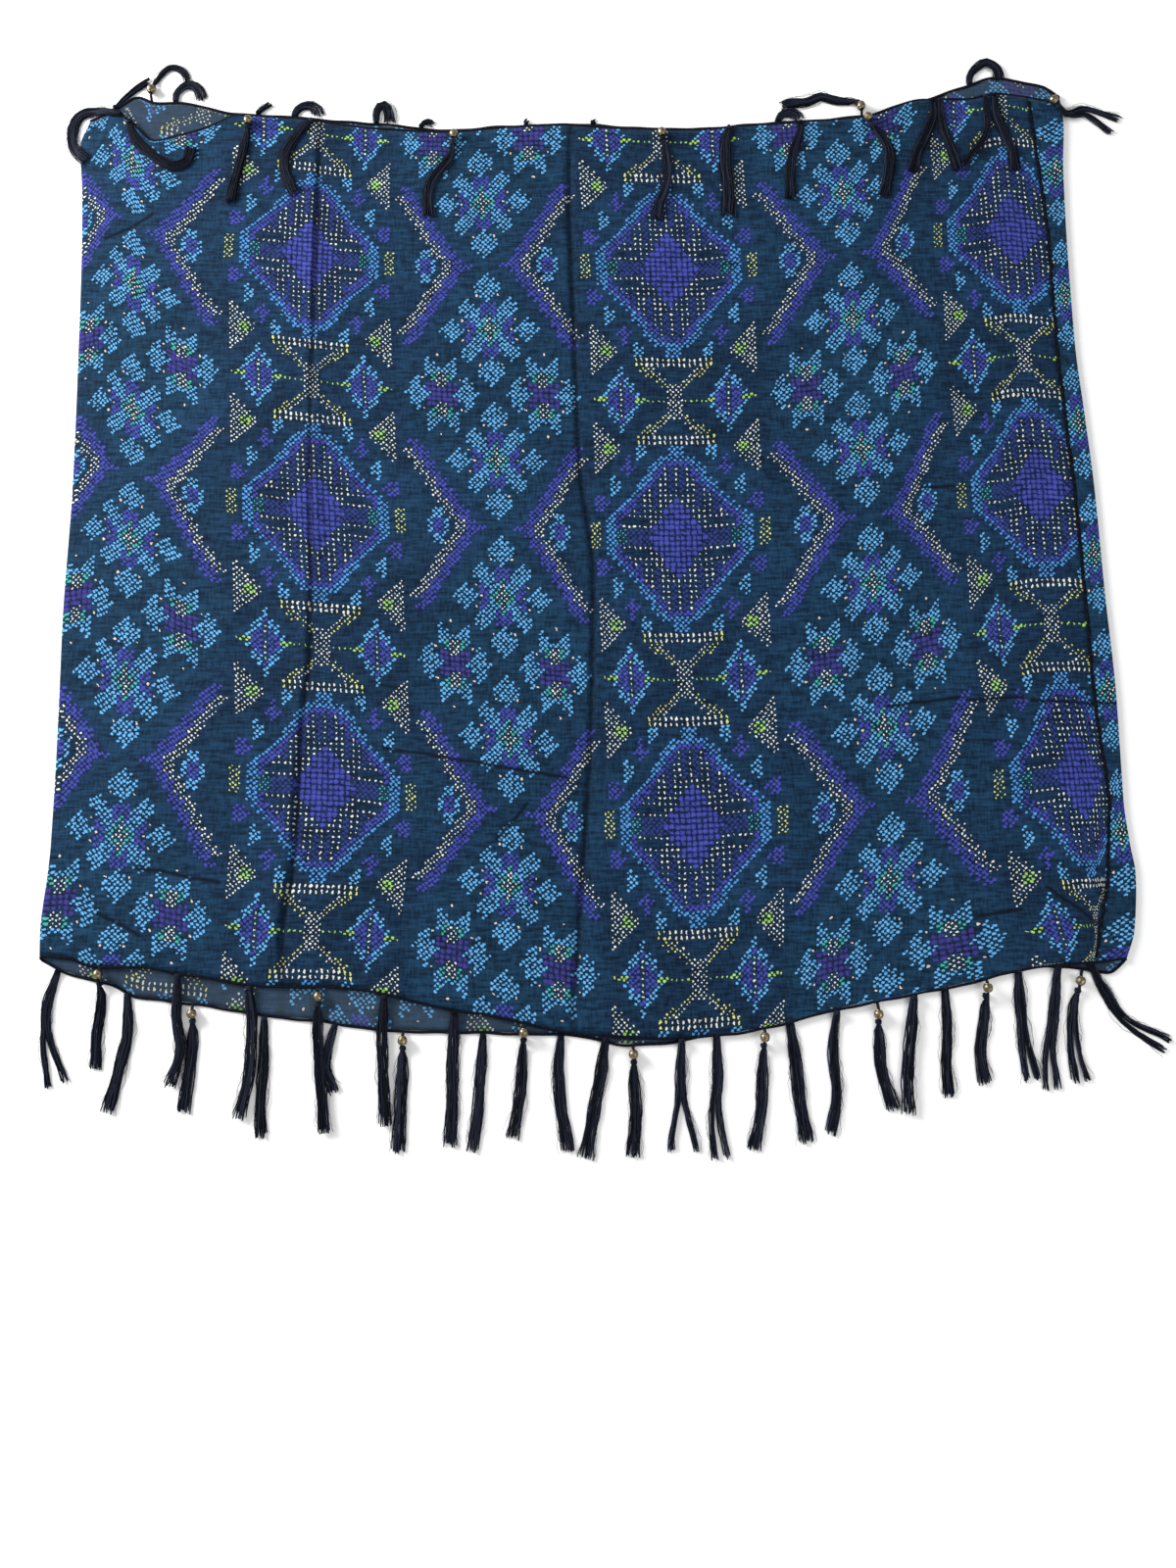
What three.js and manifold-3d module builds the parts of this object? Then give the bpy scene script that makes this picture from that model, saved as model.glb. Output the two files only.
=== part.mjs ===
// Infinity scarf: a loop of printed viscose laid flat, with a thread-bound hem and tassels on both
// edges. Millimetres, +Z up. X runs along the loop, Y from the bottom hem to the top hem, and the
// underside of the back layer is the plane Z = 0.

import * as THREE from 'three';
import Module from 'manifold-3d';

const wasm = await Module();
wasm.setup();

// ---- Driving dimensions ----

const WALL = 1.0;              // cloth, with its nap
const LAYER_GAP = 1.4;         // air between the two layers
const PIECE_GAP = 0.3;         // parting between neighbouring pieces
const HEM_WIDTH = 2.4;
const HEM_THICK = 1.2;
const SEAM_WIDTH = 3.4;
const SEAM_THICK = 0.8;
const SEAM_INSET = 0.004;      // share of the cloth's width that the fell stops short of each hem
const COLUMN_PITCH = 40;       // between the even columns of the front layer
const BACK_COLUMNS = 22;

const BEAD_DIAMETER = 8;
const BEAD_LENGTH = 7.2;
const BEAD_MOUTH_RADIUS = 2.9;
const BEAD_BELT = 1.2;         // half the length of its widest band
const BEAD_HOLE_RADIUS = 1.75;
const BEAD_SIDES = 9;
const BEAD_TO_KNOT = 0.4;
const NECK_LENGTH = 3.4;       // hem to bead
const NECK_SIZE = 0.95;        // half the side of its square section
const LOW_NECK = 0.6;          // share of a long neck at which it reaches the floor
const KNOT_RADIUS = 2.6;
const KNOT_FLATTENING = 0.8;
const HEAD_LENGTH = 7;         // a plain tassel's knot at the hem
const HEAD_WIDTH = 2.3;        // half its width
const HEAD_HEIGHT = 0.9;       // half its height
const HEAD_CROWN = 0.45;       // share of its length at which it is widest
const HEAD_END = 0.8;          // share of its width where the strands leave it
const LONGEST_HEAD = 0.6;      // largest share of a tassel that its head takes
const LIP_AHEAD = 1.2;         // of a turned-in tassel's root, as it climbs over the hem
const LIP_HEIGHT = 0.4;        // half its height there

// A strand's section is a triangle, in an ellipse of these half sizes.
const STRAND_WIDTH = 1.7;
const STRAND_HEIGHT = 0.8;
const STRAND_REST = 0.55;      // share of that height between a strand's middle and its underside
const STRAND_PITCH = 3.4;      // strand to strand, once they have spread
const STRAND_STATIONS = 5;
const STRAND_ROOT = 1.5;       // length of a strand inside the head
const ROOT_SIZE = 0.3;         // share of its section and spacing that a strand has there
const ROOT_INSET = 0.05;       // between a head's root and the faces of the hem that holds it
const CUT_STEP = 0.012;        // share of a tassel by which its strands differ in length
const GROUND_MARGIN = 1.5;     // a strand this far off the cloth still lies on its edge

// cloth and hem run round the flattened loop: low is the height of the back layer's middle and
// radius is that of the folded sides.
const CLOTH_LOOP = { low: WALL / 2, radius: (WALL + LAYER_GAP) / 2 };
const FRONT_HEIGHT = CLOTH_LOOP.low + 2 * CLOTH_LOOP.radius;
const HEM_LOW = PIECE_GAP + HEM_THICK / 2;
const HEM_LOOP = { low: HEM_LOW, radius: (FRONT_HEIGHT - HEM_LOW) / 2 };
const MIDDLE_OF_HEM = HEM_WIDTH / 2 + PIECE_GAP;
const BACK_TOP = PIECE_GAP + HEM_THICK;
const FRONT_TOP = FRONT_HEIGHT + HEM_THICK / 2;

// Rows of the cloth, as shares of its width. Three lie close together at the cross folds.
const CLOTH_ROWS = [0, 0.03, 0.09, 0.17, 0.275, 0.289, 0.303, 0.40, 0.52, 0.66, 0.82, 0.91, 0.97, 1];

// The two folded sides and the ring seam, from the bottom hem (up = 0) to the top hem (up = 1).
const SIDES = [
  { up: 0.00, left: -455, right: 447, seam: 420 },
  { up: 0.03, left: -456, right: 455, seam: 425 },
  { up: 0.09, left: -453, right: 459, seam: 435 },
  { up: 0.12, left: -452, right: 456, seam: 437 },
  { up: 0.17, left: -452, right: 453, seam: 440 },
  { up: 0.27, left: -453, right: 453, seam: 434 },
  { up: 0.40, left: -455, right: 449, seam: 431 },
  { up: 0.52, left: -454, right: 446, seam: 428 },
  { up: 0.60, left: -455, right: 442, seam: 424 },
  { up: 0.70, left: -457, right: 437, seam: 420 },
  { up: 0.82, left: -460, right: 436, seam: 419 },
  { up: 0.91, left: -464, right: 437, seam: 414 },
  { up: 0.97, left: -468, right: 440, seam: 410 },
  { up: 1.00, left: -461, right: 438, seam: 408 },
];

// The hems of both layers, from the left side (along = 0) to the right side (along = 1).
const HEMS = [
  { along: 0.000, backTop: 767, frontTop: 766, frontBottom: 3, backBottom: 0 },
  { along: 0.025, backTop: 781, frontTop: 774, frontBottom: 3, backBottom: -10 },
  { along: 0.045, backTop: 792, frontTop: 762, frontBottom: -4, backBottom: -15 },
  { along: 0.065, backTop: 786, frontTop: 746, frontBottom: -5, backBottom: -19 },
  { along: 0.090, backTop: 786, frontTop: 751, frontBottom: -5, backBottom: -30 },
  { along: 0.120, backTop: 780, frontTop: 759, frontBottom: -9, backBottom: -33 },
  { along: 0.150, backTop: 775, frontTop: 772, frontBottom: -13, backBottom: -36 },
  { along: 0.210, backTop: 771, frontTop: 769, frontBottom: -21, backBottom: -45 },
  { along: 0.260, backTop: 767, frontTop: 762, frontBottom: -21, backBottom: -49 },
  { along: 0.310, backTop: 763, frontTop: 757, frontBottom: -26, backBottom: -56 },
  { along: 0.370, backTop: 758, frontTop: 755, frontBottom: -38, backBottom: -58 },
  { along: 0.430, backTop: 762, frontTop: 760, frontBottom: -47, backBottom: -59 },
  { along: 0.485, backTop: 764, frontTop: 762, frontBottom: -58, backBottom: -60 },
  { along: 0.540, backTop: 762, frontTop: 759, frontBottom: -62, backBottom: -68 },
  { along: 0.575, backTop: 760, frontTop: 758, frontBottom: -63, backBottom: -67 },
  { along: 0.615, backTop: 759, frontTop: 757, frontBottom: -61, backBottom: -60 },
  { along: 0.670, backTop: 763, frontTop: 761, frontBottom: -54, backBottom: -51 },
  { along: 0.730, backTop: 767, frontTop: 765, frontBottom: -40, backBottom: -37 },
  { along: 0.800, backTop: 773, frontTop: 771, frontBottom: -28, backBottom: -25 },
  { along: 0.860, backTop: 788, frontTop: 788, frontBottom: -17, backBottom: -14 },
  { along: 0.900, backTop: 801, frontTop: 788, frontBottom: -8, backBottom: -6 },
  { along: 0.940, backTop: 812, frontTop: 794, frontBottom: -3, backBottom: -4 },
  { along: 0.970, backTop: 806, frontTop: 790, frontBottom: -1, backBottom: -8 },
  { along: 0.985, backTop: 803, frontTop: 787, frontBottom: 0, backBottom: -10 },
  { along: 1.000, backTop: 793, frontTop: 790, frontBottom: 2, backBottom: 0 },
];

// Creases left by storage, a quarter and half way along the front layer, each through three places.
const CREASES = [
  { rise: 1.7, halfWidth: 7, at: [{ y: 0, x: -263 }, { y: 330, x: -241 }, { y: 700, x: -252 }] },
  { rise: -0.9, halfWidth: 7, at: [{ y: 0, x: -8 }, { y: 400, x: 2 }, { y: 740, x: -20 }] },
];
const BESIDE_CREASE = [5, 12]; // extra columns, at these distances on both sides
// Shorter creases that run along X, and the length over which their ends fade.
const CROSS_CREASES = [
  { rise: 1.2, halfWidth: 8, from: 236, to: 470, y: 217 },
  { rise: 0.9, halfWidth: 8, from: -190, to: 10, y: 167 },
];
const CROSS_FADE = 60;
// The slow rise and fall of the whole front layer.
const SWELL = { height: 0.45, length: 330, width: 270 };
// The front layer is level along its edges: up to these distances from its folded sides, and within
// this share of its width from its hems.
const LEVEL_SIDES = { left: 25, right: 30 };
const LEVEL_HEMS = 0.05;

// Tassels of the bottom hems, from left to right. at is the place along the hem; drop is the length
// below it; third, twoThirds and tip are the sideways moves; fork is the distance between two legs;
// over marks one that lies across its neighbours; neck is the hem's distance from a bead where it
// isn't the usual one.
const BOTTOM_TASSELS = [
  { hem: 'back', at: -439, drop: 94, third: -8, twoThirds: -5, tip: 5, fork: 9 },
  { hem: 'front', at: -404, drop: 84, third: 2, twoThirds: 0, tip: 1, bead: true },
  { hem: 'back', at: -381, drop: 97, third: 2, twoThirds: -4, tip: -11 },
  { hem: 'front', at: -339, drop: 93, third: 0, twoThirds: 5, tip: -3, over: true },
  { hem: 'back', at: -326, drop: 88, third: 1, twoThirds: -1, tip: -4, bead: true },
  { hem: 'front', at: -280, drop: 108, third: 4, twoThirds: 3, tip: -4, over: true },
  { hem: 'back', at: -267, drop: 98, third: 1, twoThirds: 0, tip: 1 },
  { hem: 'front', at: -222, drop: 118, third: 0, twoThirds: 4, tip: 8, bead: true, over: true },
  { hem: 'back', at: -208, drop: 56, third: -5, twoThirds: -7, tip: 2 },
  { hem: 'front', at: -168, drop: 106, third: -1, twoThirds: 1, tip: 4, over: true },
  { hem: 'back', at: -152, drop: 98, third: 0, twoThirds: -1, tip: -2, bead: true },
  { hem: 'front', at: -110, drop: 110, third: -1, twoThirds: -1, tip: -2 },
  { hem: 'back', at: -86, drop: 95, third: -2, twoThirds: -4, tip: -8 },
  { hem: 'front', at: -52, drop: 93, third: -2, twoThirds: -4, tip: -10, bead: true },
  { hem: 'back', at: -22, drop: 94, third: -2, twoThirds: 1, tip: 7 },
  { hem: 'front', at: 15, drop: 98, third: -5, twoThirds: -11, tip: -17 },
  { hem: 'back', at: 37, drop: 90, third: 1, twoThirds: 2, tip: -1, bead: true },
  { hem: 'front', at: 77, drop: 92, third: -1, twoThirds: -1, tip: 1, fork: 16 },
  { hem: 'back', at: 106, drop: 101, third: 0, twoThirds: -2, tip: 2, fork: 6 },
  { hem: 'front', at: 145, drop: 98, third: -2, twoThirds: -4, tip: -11, bead: true },
  { hem: 'back', at: 166, drop: 100, third: 4, twoThirds: 7, tip: 12 },
  { hem: 'front', at: 205, drop: 101, third: -4, twoThirds: -2, tip: -8 },
  { hem: 'back', at: 239, drop: 92, third: 0, twoThirds: 2, tip: 11, bead: true, neck: 9 },
  { hem: 'front', at: 269, drop: 97, third: -4, twoThirds: -8, tip: -8, over: true },
  { hem: 'back', at: 295, drop: 92, third: 1, twoThirds: -1, tip: 0 },
  { hem: 'front', at: 329, drop: 86, third: -2, twoThirds: -7, tip: -4, bead: true },
  { hem: 'back', at: 357, drop: 92, third: 0, twoThirds: 2, tip: 7, fork: 4 },
  { hem: 'front', at: 389, drop: 102, third: -4, twoThirds: -10, tip: -10, fork: 4 },
  { hem: 'back', at: 410, drop: 92, third: -9, twoThirds: -11, tip: -6, bead: true, neck: 8, fork: 4 },
  { hem: 'front', at: 415, drop: 68, third: 12, twoThirds: 26, tip: 62, fork: 5 },
];

// Tassels and loops of the top hems. route is the way of the bundle's middle, as moves along X and Y
// from the place on the hem where it starts; a loop comes back to the hem. turnsIn marks a bundle
// without a bead that starts on top of its hem; past marks the stretch of the back hem that has come
// round the right side.
const TOP_TASSELS = [
  { hem: 'front', at: -431, strands: 3,
    route: [[-10, 3], [-25, 5], [-39, 2], [-46, -12], [-45, -28], [-38, -39], [-28, -48]] },
  { hem: 'front', at: -424, strands: 3, turnsIn: true,
    route: [[4, -15], [14, -28], [29, -40], [44, -47], [56, -42], [59, -26]] },
  { hem: 'back', at: -440, strands: 2, route: [[6, 8], [16, 18], [26, 27], [33, 31]] },
  { hem: 'back', at: -405, strands: 2, bead: true,
    route: [[0, 8], [4, 24], [16, 36], [28, 31], [33, 20]] },
  { hem: 'back', at: -383, strands: 3, route: [[0, 9], [4, 15], [11, 19], [18, 17], [23, 9], [24, 2]] },
  { hem: 'back', at: -307, strands: 2, route: [[4, 6], [13, 13]] },
  { hem: 'front', at: -312, strands: 3, bead: true,
    route: [[-1, -8], [-4, -30], [-8, -50], [-12, -68], [-15, -90]] },
  { hem: 'back', at: -273, strands: 3, route: [[3, 8], [9, 12], [17, 12], [22, 7], [23, 1]] },
  { hem: 'front', at: -254, strands: 3, turnsIn: true,
    route: [[-7, -6], [-18, -21], [-24, -35], [-24, -50], [-19, -65], [-13, -76]] },
  { hem: 'back', at: -196, strands: 3, route: [[0, 13], [3, 19], [8, 19], [11, 12], [12, 1]] },
  { hem: 'back', at: -155, strands: 2, route: [[3, 6], [8, 7], [12, 2]] },
  { hem: 'front', at: -122, strands: 3, bead: true,
    route: [[-2, -10], [-5, -28], [-13, -38], [-20, -48], [-24, -64], [-23, -87]] },
  { hem: 'back', at: -57, strands: 2, route: [[0, 4], [3, 5]] },
  { hem: 'back', at: 5, strands: 2, route: [[0, 4], [3, 5]] },
  { hem: 'front', at: 67, strands: 3, bead: true,
    route: [[1, -8], [5, -26], [6, -44], [3, -62], [-2, -76], [-5, -92]] },
  { hem: 'front', at: 131, strands: 4, turnsIn: true,
    route: [[-4, -12], [-5, -36], [-3, -62], [-4, -92]] },
  { hem: 'back', at: 175, strands: 3, route: [[4, 8], [11, 11], [18, 9], [21, 3]] },
  { hem: 'front', at: 196, strands: 3, turnsIn: true,
    route: [[0, -10], [-6, -28], [-10, -52], [-11, -80]] },
  { hem: 'back', at: 254, strands: 3, bead: true,
    route: [[-4, 13], [-24, 16], [-38, 20], [-50, 15], [-67, 13], [-76, 10]] },
  { hem: 'front', at: 255, strands: 3, bead: true,
    route: [[4, -8], [14, -19], [21, -32], [22, -47], [19, -66], [15, -84]] },
  { hem: 'front', at: 319, strands: 3, turnsIn: true,
    route: [[0, -18], [-7, -36], [-15, -54], [-21, -77]] },
  { hem: 'front', at: 326, strands: 3, turnsIn: true,
    route: [[0, -18], [3, -34], [8, -52], [15, -74]] },
  { hem: 'back', at: 355, strands: 3, route: [[1, 10], [8, 19], [18, 24], [27, 17], [28, 4]] },
  { hem: 'front', at: 368, strands: 2, turnsIn: true,
    route: [[0, -14], [1, -30], [-4, -45], [-14, -58], [-24, -72]] },
  { hem: 'front', at: 376, strands: 3, turnsIn: true,
    route: [[2, -22], [8, -42], [14, -58], [16, -80]] },
  { hem: 'back', past: true, at: 424, strands: 4, bead: true, fork: 9,
    route: [[7, -5], [18, -14], [36, -10], [50, -16], [66, -26]] },
];

// ---- Curves through the tables ----

const { clamp, lerp, smoothstep, degToRad, radToDeg } = THREE.MathUtils;
const range = (from, to, steps) => Array.from({ length: steps + 1 }, (_, i) => lerp(from, to, i / steps));

// A smooth curve through the rows that never overshoots them.
function curveThrough(rows, key, value) {
  const gain = (name, i) => rows[i + 1][name] - rows[i][name];
  const steps = rows.slice(1).map((row, i) => gain(value, i) / gain(key, i));
  const slopes = rows.map((row, i) => {
    const before = steps[Math.max(i - 1, 0)];
    const after = steps[Math.min(i, steps.length - 1)];
    return before * after > 0 ? (2 * before * after) / (before + after) : 0;
  });
  return (at) => {
    const last = rows.length - 2;
    const found = rows.findIndex((row, i) => i > 0 && at <= row[key]);
    const i = found < 0 ? last : found - 1;
    const span = gain(key, i);
    const t = clamp((at - rows[i][key]) / span, 0, 1);
    const ease = t * t * (3 - 2 * t);
    const leave = t * (1 - t) * (1 - t) * span * slopes[i];
    const arrive = t * t * (1 - t) * span * slopes[i + 1];
    return rows[i][value] + gain(value, i) * ease + leave - arrive;
  };
}

const side = {
  left: curveThrough(SIDES, 'up', 'left'),
  right: curveThrough(SIDES, 'up', 'right'),
  seam: curveThrough(SIDES, 'up', 'seam'),
};
const hemCurve = (name) => curveThrough(HEMS, 'along', name);
const hem = {
  front: { top: hemCurve('frontTop'), bottom: hemCurve('frontBottom') },
  back: { top: hemCurve('backTop'), bottom: hemCurve('backBottom') },
};
const creases = CREASES.map((crease) => ({ ...crease, line: curveThrough(crease.at, 'y', 'x') }));

const FOLD_DEPTH = CLOTH_LOOP.radius + WALL / 2;
const leftFlat = (up) => side.left(up) + FOLD_DEPTH;
const rightFlat = (up) => side.right(up) - FOLD_DEPTH;
const share = (x, up) => clamp((x - leftFlat(up)) / (rightFlat(up) - leftFlat(up)), 0, 1);
const layerY = (layer, along, up) => lerp(hem[layer].bottom(along), hem[layer].top(along), up);

// How far the front layer stands above its lowest place.
function relief(x, y, up) {
  const turn = 2 * Math.PI;
  const bump = (distance, halfWidth) => Math.exp(-((distance / halfWidth) ** 2));
  const between = (at, from, to, fadeIn, fadeOut = fadeIn) => (
    smoothstep(at, from, from + fadeIn) * (1 - smoothstep(at, to - fadeOut, to))
  );
  let height = SWELL.height * Math.sin((turn * x) / SWELL.length) * Math.cos((turn * y) / SWELL.width);
  for (const crease of creases) {
    height += crease.rise * bump(x - crease.line(y), crease.halfWidth);
  }
  for (const { rise, halfWidth, from, to, y: line } of CROSS_CREASES) {
    height += rise * between(x, from, to, CROSS_FADE) * bump(y - line, halfWidth);
  }
  const sides = between(x, leftFlat(up), rightFlat(up), LEVEL_SIDES.left, LEVEL_SIDES.right);
  return height * sides * between(up, 0, 1, LEVEL_HEMS);
}

// ---- Places round the flattened loop ----

// Each station gives, for a share up from the bottom hem, a point on the middle of the wall and the
// way out of it. loop is the cross-section that it follows, the cloth's or the hem's.

function frontStation(xAt) {
  return (up, loop) => {
    const x = xAt(up);
    const y = layerY('front', share(x, up), up);
    const point = new THREE.Vector3(x, y, loop.low + 2 * loop.radius + relief(x, y, up));
    return { point, out: new THREE.Vector3(0, 0, 1) };
  };
}

function backStation(along) {
  return (up, loop) => {
    const x = lerp(leftFlat(up), rightFlat(up), along);
    const point = new THREE.Vector3(x, layerY('back', along, up), loop.low);
    return { point, out: new THREE.Vector3(0, 0, -1) };
  };
}

// angle is measured from +X towards +Z, so 90 is the top of the fold and 270 its underside.
function foldStation(edge, angle) {
  const turn = degToRad(angle);
  const out = new THREE.Vector3(Math.cos(turn), 0, Math.sin(turn));
  const along = edge === 'left' ? 0 : 1;
  return (up, loop) => {
    const x = edge === 'left' ? leftFlat(up) : rightFlat(up);
    const y = lerp(layerY('back', along, up), layerY('front', along, up), (1 + Math.sin(turn)) / 2);
    const axis = new THREE.Vector3(x, y, loop.low + loop.radius);
    return { point: axis.addScaledVector(out, loop.radius), out };
  };
}

// Columns of the front layer: even ones, with a few drawn close to each crease.
function frontColumns() {
  const seamEdge = (up) => side.seam(up) - PIECE_GAP / 2;
  const ridges = creases.map((crease) => (up) => crease.line(layerY('front', 0.5, up)));
  const edges = [leftFlat, ...ridges, seamEdge];
  const columns = [leftFlat];
  for (let i = 1; i < edges.length; i += 1) {
    const first = i > 1 ? BESIDE_CREASE : [];
    const last = i < edges.length - 1 ? BESIDE_CREASE.map((step) => -step).reverse() : [];
    first.forEach((step) => columns.push((up) => edges[i - 1](up) + step));
    const start = (up) => edges[i - 1](up) + (first.at(-1) ?? 0);
    const end = (up) => edges[i](up) + (last[0] ?? 0);
    const steps = Math.round((end(0.5) - start(0.5)) / COLUMN_PITCH);
    range(0, 1, steps).slice(1, -1).forEach((t) => columns.push((up) => lerp(start(up), end(up), t)));
    last.forEach((step) => columns.push((up) => edges[i](up) + step));
    columns.push(edges[i]);
  }
  return columns.map(frontStation);
}

const FOLD_GAP = radToDeg(PIECE_GAP / 2 / CLOTH_LOOP.radius);

function frontStations() {
  const fold = [180 - FOLD_GAP, 150, 120].map((angle) => foldStation('left', angle));
  return [...fold, ...frontColumns()];
}

function backStations() {
  const leftFold = [180 + FOLD_GAP, 210, 240].map((angle) => foldStation('left', angle));
  const rightFold = [-60, -30, 0, 30, 60].map((angle) => foldStation('right', angle));
  const seamEdge = (up) => side.seam(up) + PIECE_GAP / 2;
  const past = [0, 0.5, 1].map((t) => frontStation((up) => lerp(rightFlat(up), seamEdge(up), t)));
  return [...leftFold, ...range(0, 1, BACK_COLUMNS).map(backStation), ...rightFold, ...past];
}

// ---- Solids ----

function meshOf(positions, faces) {
  const geometry = new THREE.BufferGeometry();
  geometry.setAttribute('position', new THREE.Float32BufferAttribute(positions, 3));
  geometry.setIndex(faces);
  return geometry;
}

// A closed wall between two grids of points that face each other.
function closedWall(outer, inner) {
  const rows = outer.length;
  const columns = outer[0].length;
  const positions = [...outer.flat(), ...inner.flat()].flatMap((point) => point.toArray());
  const index = (grid, row, column) => (grid * rows + row) * columns + column;
  const faces = [];
  const quad = (a, b, c, d) => faces.push(a, b, c, a, c, d);
  for (let row = 0; row < rows - 1; row += 1) {
    for (let column = 0; column < columns - 1; column += 1) {
      const corners = [[row, column], [row, column + 1], [row + 1, column + 1], [row + 1, column]];
      quad(...corners.map(([r, c]) => index(0, r, c)));
      quad(...corners.map(([r, c]) => index(1, r, c)).reverse());
    }
  }
  for (let column = 0; column < columns - 1; column += 1) {
    const next = column + 1;
    const end = rows - 1;
    quad(index(0, 0, column), index(1, 0, column), index(1, 0, next), index(0, 0, next));
    quad(index(0, end, next), index(1, end, next), index(1, end, column), index(0, end, column));
  }
  for (let row = 0; row < rows - 1; row += 1) {
    const next = row + 1;
    const end = columns - 1;
    quad(index(0, next, 0), index(1, next, 0), index(1, row, 0), index(0, row, 0));
    quad(index(0, row, end), index(1, row, end), index(1, next, end), index(0, next, end));
  }
  return outwards(meshOf(positions, faces));
}

// Turns the faces of a closed mesh round if they point inwards.
function outwards(geometry) {
  const index = geometry.index.array;
  const { position } = geometry.attributes;
  const [a, b, c] = [new THREE.Vector3(), new THREE.Vector3(), new THREE.Vector3()];
  let volume = 0;
  for (let i = 0; i < index.length; i += 3) {
    [a, b, c].forEach((corner, k) => corner.fromBufferAttribute(position, index[i + k]));
    volume += a.dot(b.cross(c));
  }
  if (volume < 0) geometry.setIndex(Array.from(index).reverse());
  return geometry;
}

// A stretch of the cloth.
function clothWall(stations) {
  const grid = (offset) => CLOTH_ROWS.map((up) => stations.map((station) => {
    const { point, out } = station(up, CLOTH_LOOP);
    return point.addScaledVector(out, offset);
  }));
  return closedWall(grid(WALL / 2), grid(-WALL / 2));
}

// Places along a line just outside one edge of the cloth.
function hemLine(stations, edge, distance) {
  const away = edge === 'top' ? 1 : -1;
  return stations.map((station) => {
    const place = station(edge === 'top' ? 1 : 0, HEM_LOOP);
    place.point.y += away * distance;
    return place;
  });
}

// The narrow bound hem between two such lines.
function hemStrip(stations, edge) {
  const lines = [PIECE_GAP, PIECE_GAP + HEM_WIDTH].map((distance) => hemLine(stations, edge, distance));
  const moved = (offset) => ({ point, out }) => point.clone().addScaledVector(out, offset);
  const grid = (offset) => lines.map((line) => line.map(moved(offset)));
  return closedWall(grid(HEM_THICK / 2), grid(-HEM_THICK / 2));
}

// The ring seam's raised fell, on the front layer's own points.
function seamStrip() {
  const ups = CLOTH_ROWS.map((up) => clamp(up, SEAM_INSET, 1 - SEAM_INSET));
  const raised = WALL / 2 + PIECE_GAP;
  const grid = (height) => ups.map((up) => [-0.5, 0.5].map((half) => {
    const { point } = frontStation(() => side.seam(up) + half * SEAM_WIDTH)(up, CLOTH_LOOP);
    return point.add(new THREE.Vector3(0, 0, height));
  }));
  return closedWall(grid(raised + SEAM_THICK), grid(raised));
}

// A closed tube along a path. Each stop is { at, width, height }, the half sizes of its section: a
// triangle that lies on one side, or an upright rectangle.
function tube(stops, sides) {
  const [first, corners] = sides === 4 ? [Math.PI / 4, Math.SQRT2] : [Math.PI / 2, 1];
  const positions = [];
  stops.forEach((stop, i) => {
    const next = stops[Math.min(i + 1, stops.length - 1)].at;
    const ahead = next.clone().sub(stops[Math.max(i - 1, 0)].at).normalize();
    const across = new THREE.Vector3(0, 0, 1).cross(ahead).normalize();
    const above = ahead.clone().cross(across);
    for (let k = 0; k < sides; k += 1) {
      const turn = first + (2 * Math.PI * k) / sides;
      const corner = stop.at.clone().addScaledVector(across, corners * stop.width * Math.cos(turn));
      corner.addScaledVector(above, corners * stop.height * Math.sin(turn));
      positions.push(...corner.toArray());
    }
  });
  const faces = [];
  for (let i = 0; i < stops.length - 1; i += 1) {
    for (let k = 0; k < sides; k += 1) {
      const [a, b] = [i * sides + k, i * sides + ((k + 1) % sides)];
      faces.push(a, b, b + sides, a, b + sides, a + sides);
    }
  }
  const end = (stops.length - 1) * sides;
  for (let k = 1; k < sides - 1; k += 1) {
    faces.push(0, k + 1, k, end, end + k, end + k + 1);
  }
  return outwards(meshOf(positions, faces));
}

function toManifold(geometry) {
  return new wasm.Manifold(new wasm.Mesh({
    numProp: 3,
    vertProperties: new Float32Array(geometry.attributes.position.array),
    triVerts: new Uint32Array(geometry.index.array),
  }));
}

function fuse(geometries) {
  const joined = wasm.Manifold.union(geometries.map(toManifold)).getMesh();
  return meshOf(Array.from(joined.vertProperties), Array.from(joined.triVerts));
}

// ---- Tassels ----

// The height of whatever lies under a place: the front layer, the back layer or the floor.
function groundUnder(x, y, row) {
  if (row.hem === 'back' && !row.past) return 0;
  const { bottom, top } = hem.front;
  const near = share(x, 0.5);
  const up = clamp((y - bottom(near)) / (top(near) - bottom(near)), 0, 1);
  if (x < side.left(up) - GROUND_MARGIN || x > side.right(up) + GROUND_MARGIN) return 0;
  const along = share(x, up);
  const margin = HEM_WIDTH + PIECE_GAP + GROUND_MARGIN;
  const covers = (layer) => y > hem[layer].bottom(along) - margin && y < hem[layer].top(along) + margin;
  if (covers('front')) return Math.max(FRONT_TOP, FRONT_HEIGHT + WALL / 2 + relief(x, y, up));
  return covers('back') ? BACK_TOP : 0;
}

// The highest ground near a place, looked for on a square grid.
function groundNear({ x, y }, distance, row) {
  const steps = range(-distance, distance, 4);
  return Math.max(...steps.flatMap((dx) => steps.map((dy) => groundUnder(x + dx, y + dy, row))));
}

// Where a tassel starts, in the middle of its hem strip. The back hem also has a short stretch on
// the front, between the right side and the ring seam.
function rootOf(row, strip) {
  const line = row.past ? [...strip].reverse() : strip;
  const next = line.findIndex((point, i) => i > 0 && (point.x - row.at) * (line[i - 1].x - row.at) <= 0);
  const [a, b] = [line[next - 1], line[next]];
  return a.clone().lerp(b, (row.at - a.x) / (b.x - a.x));
}

function routeOf(row) {
  const { drop, third, twoThirds, tip } = row;
  return row.route ?? [[third, -drop / 3], [twoThirds, (-2 * drop) / 3], [tip, -drop]];
}

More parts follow.
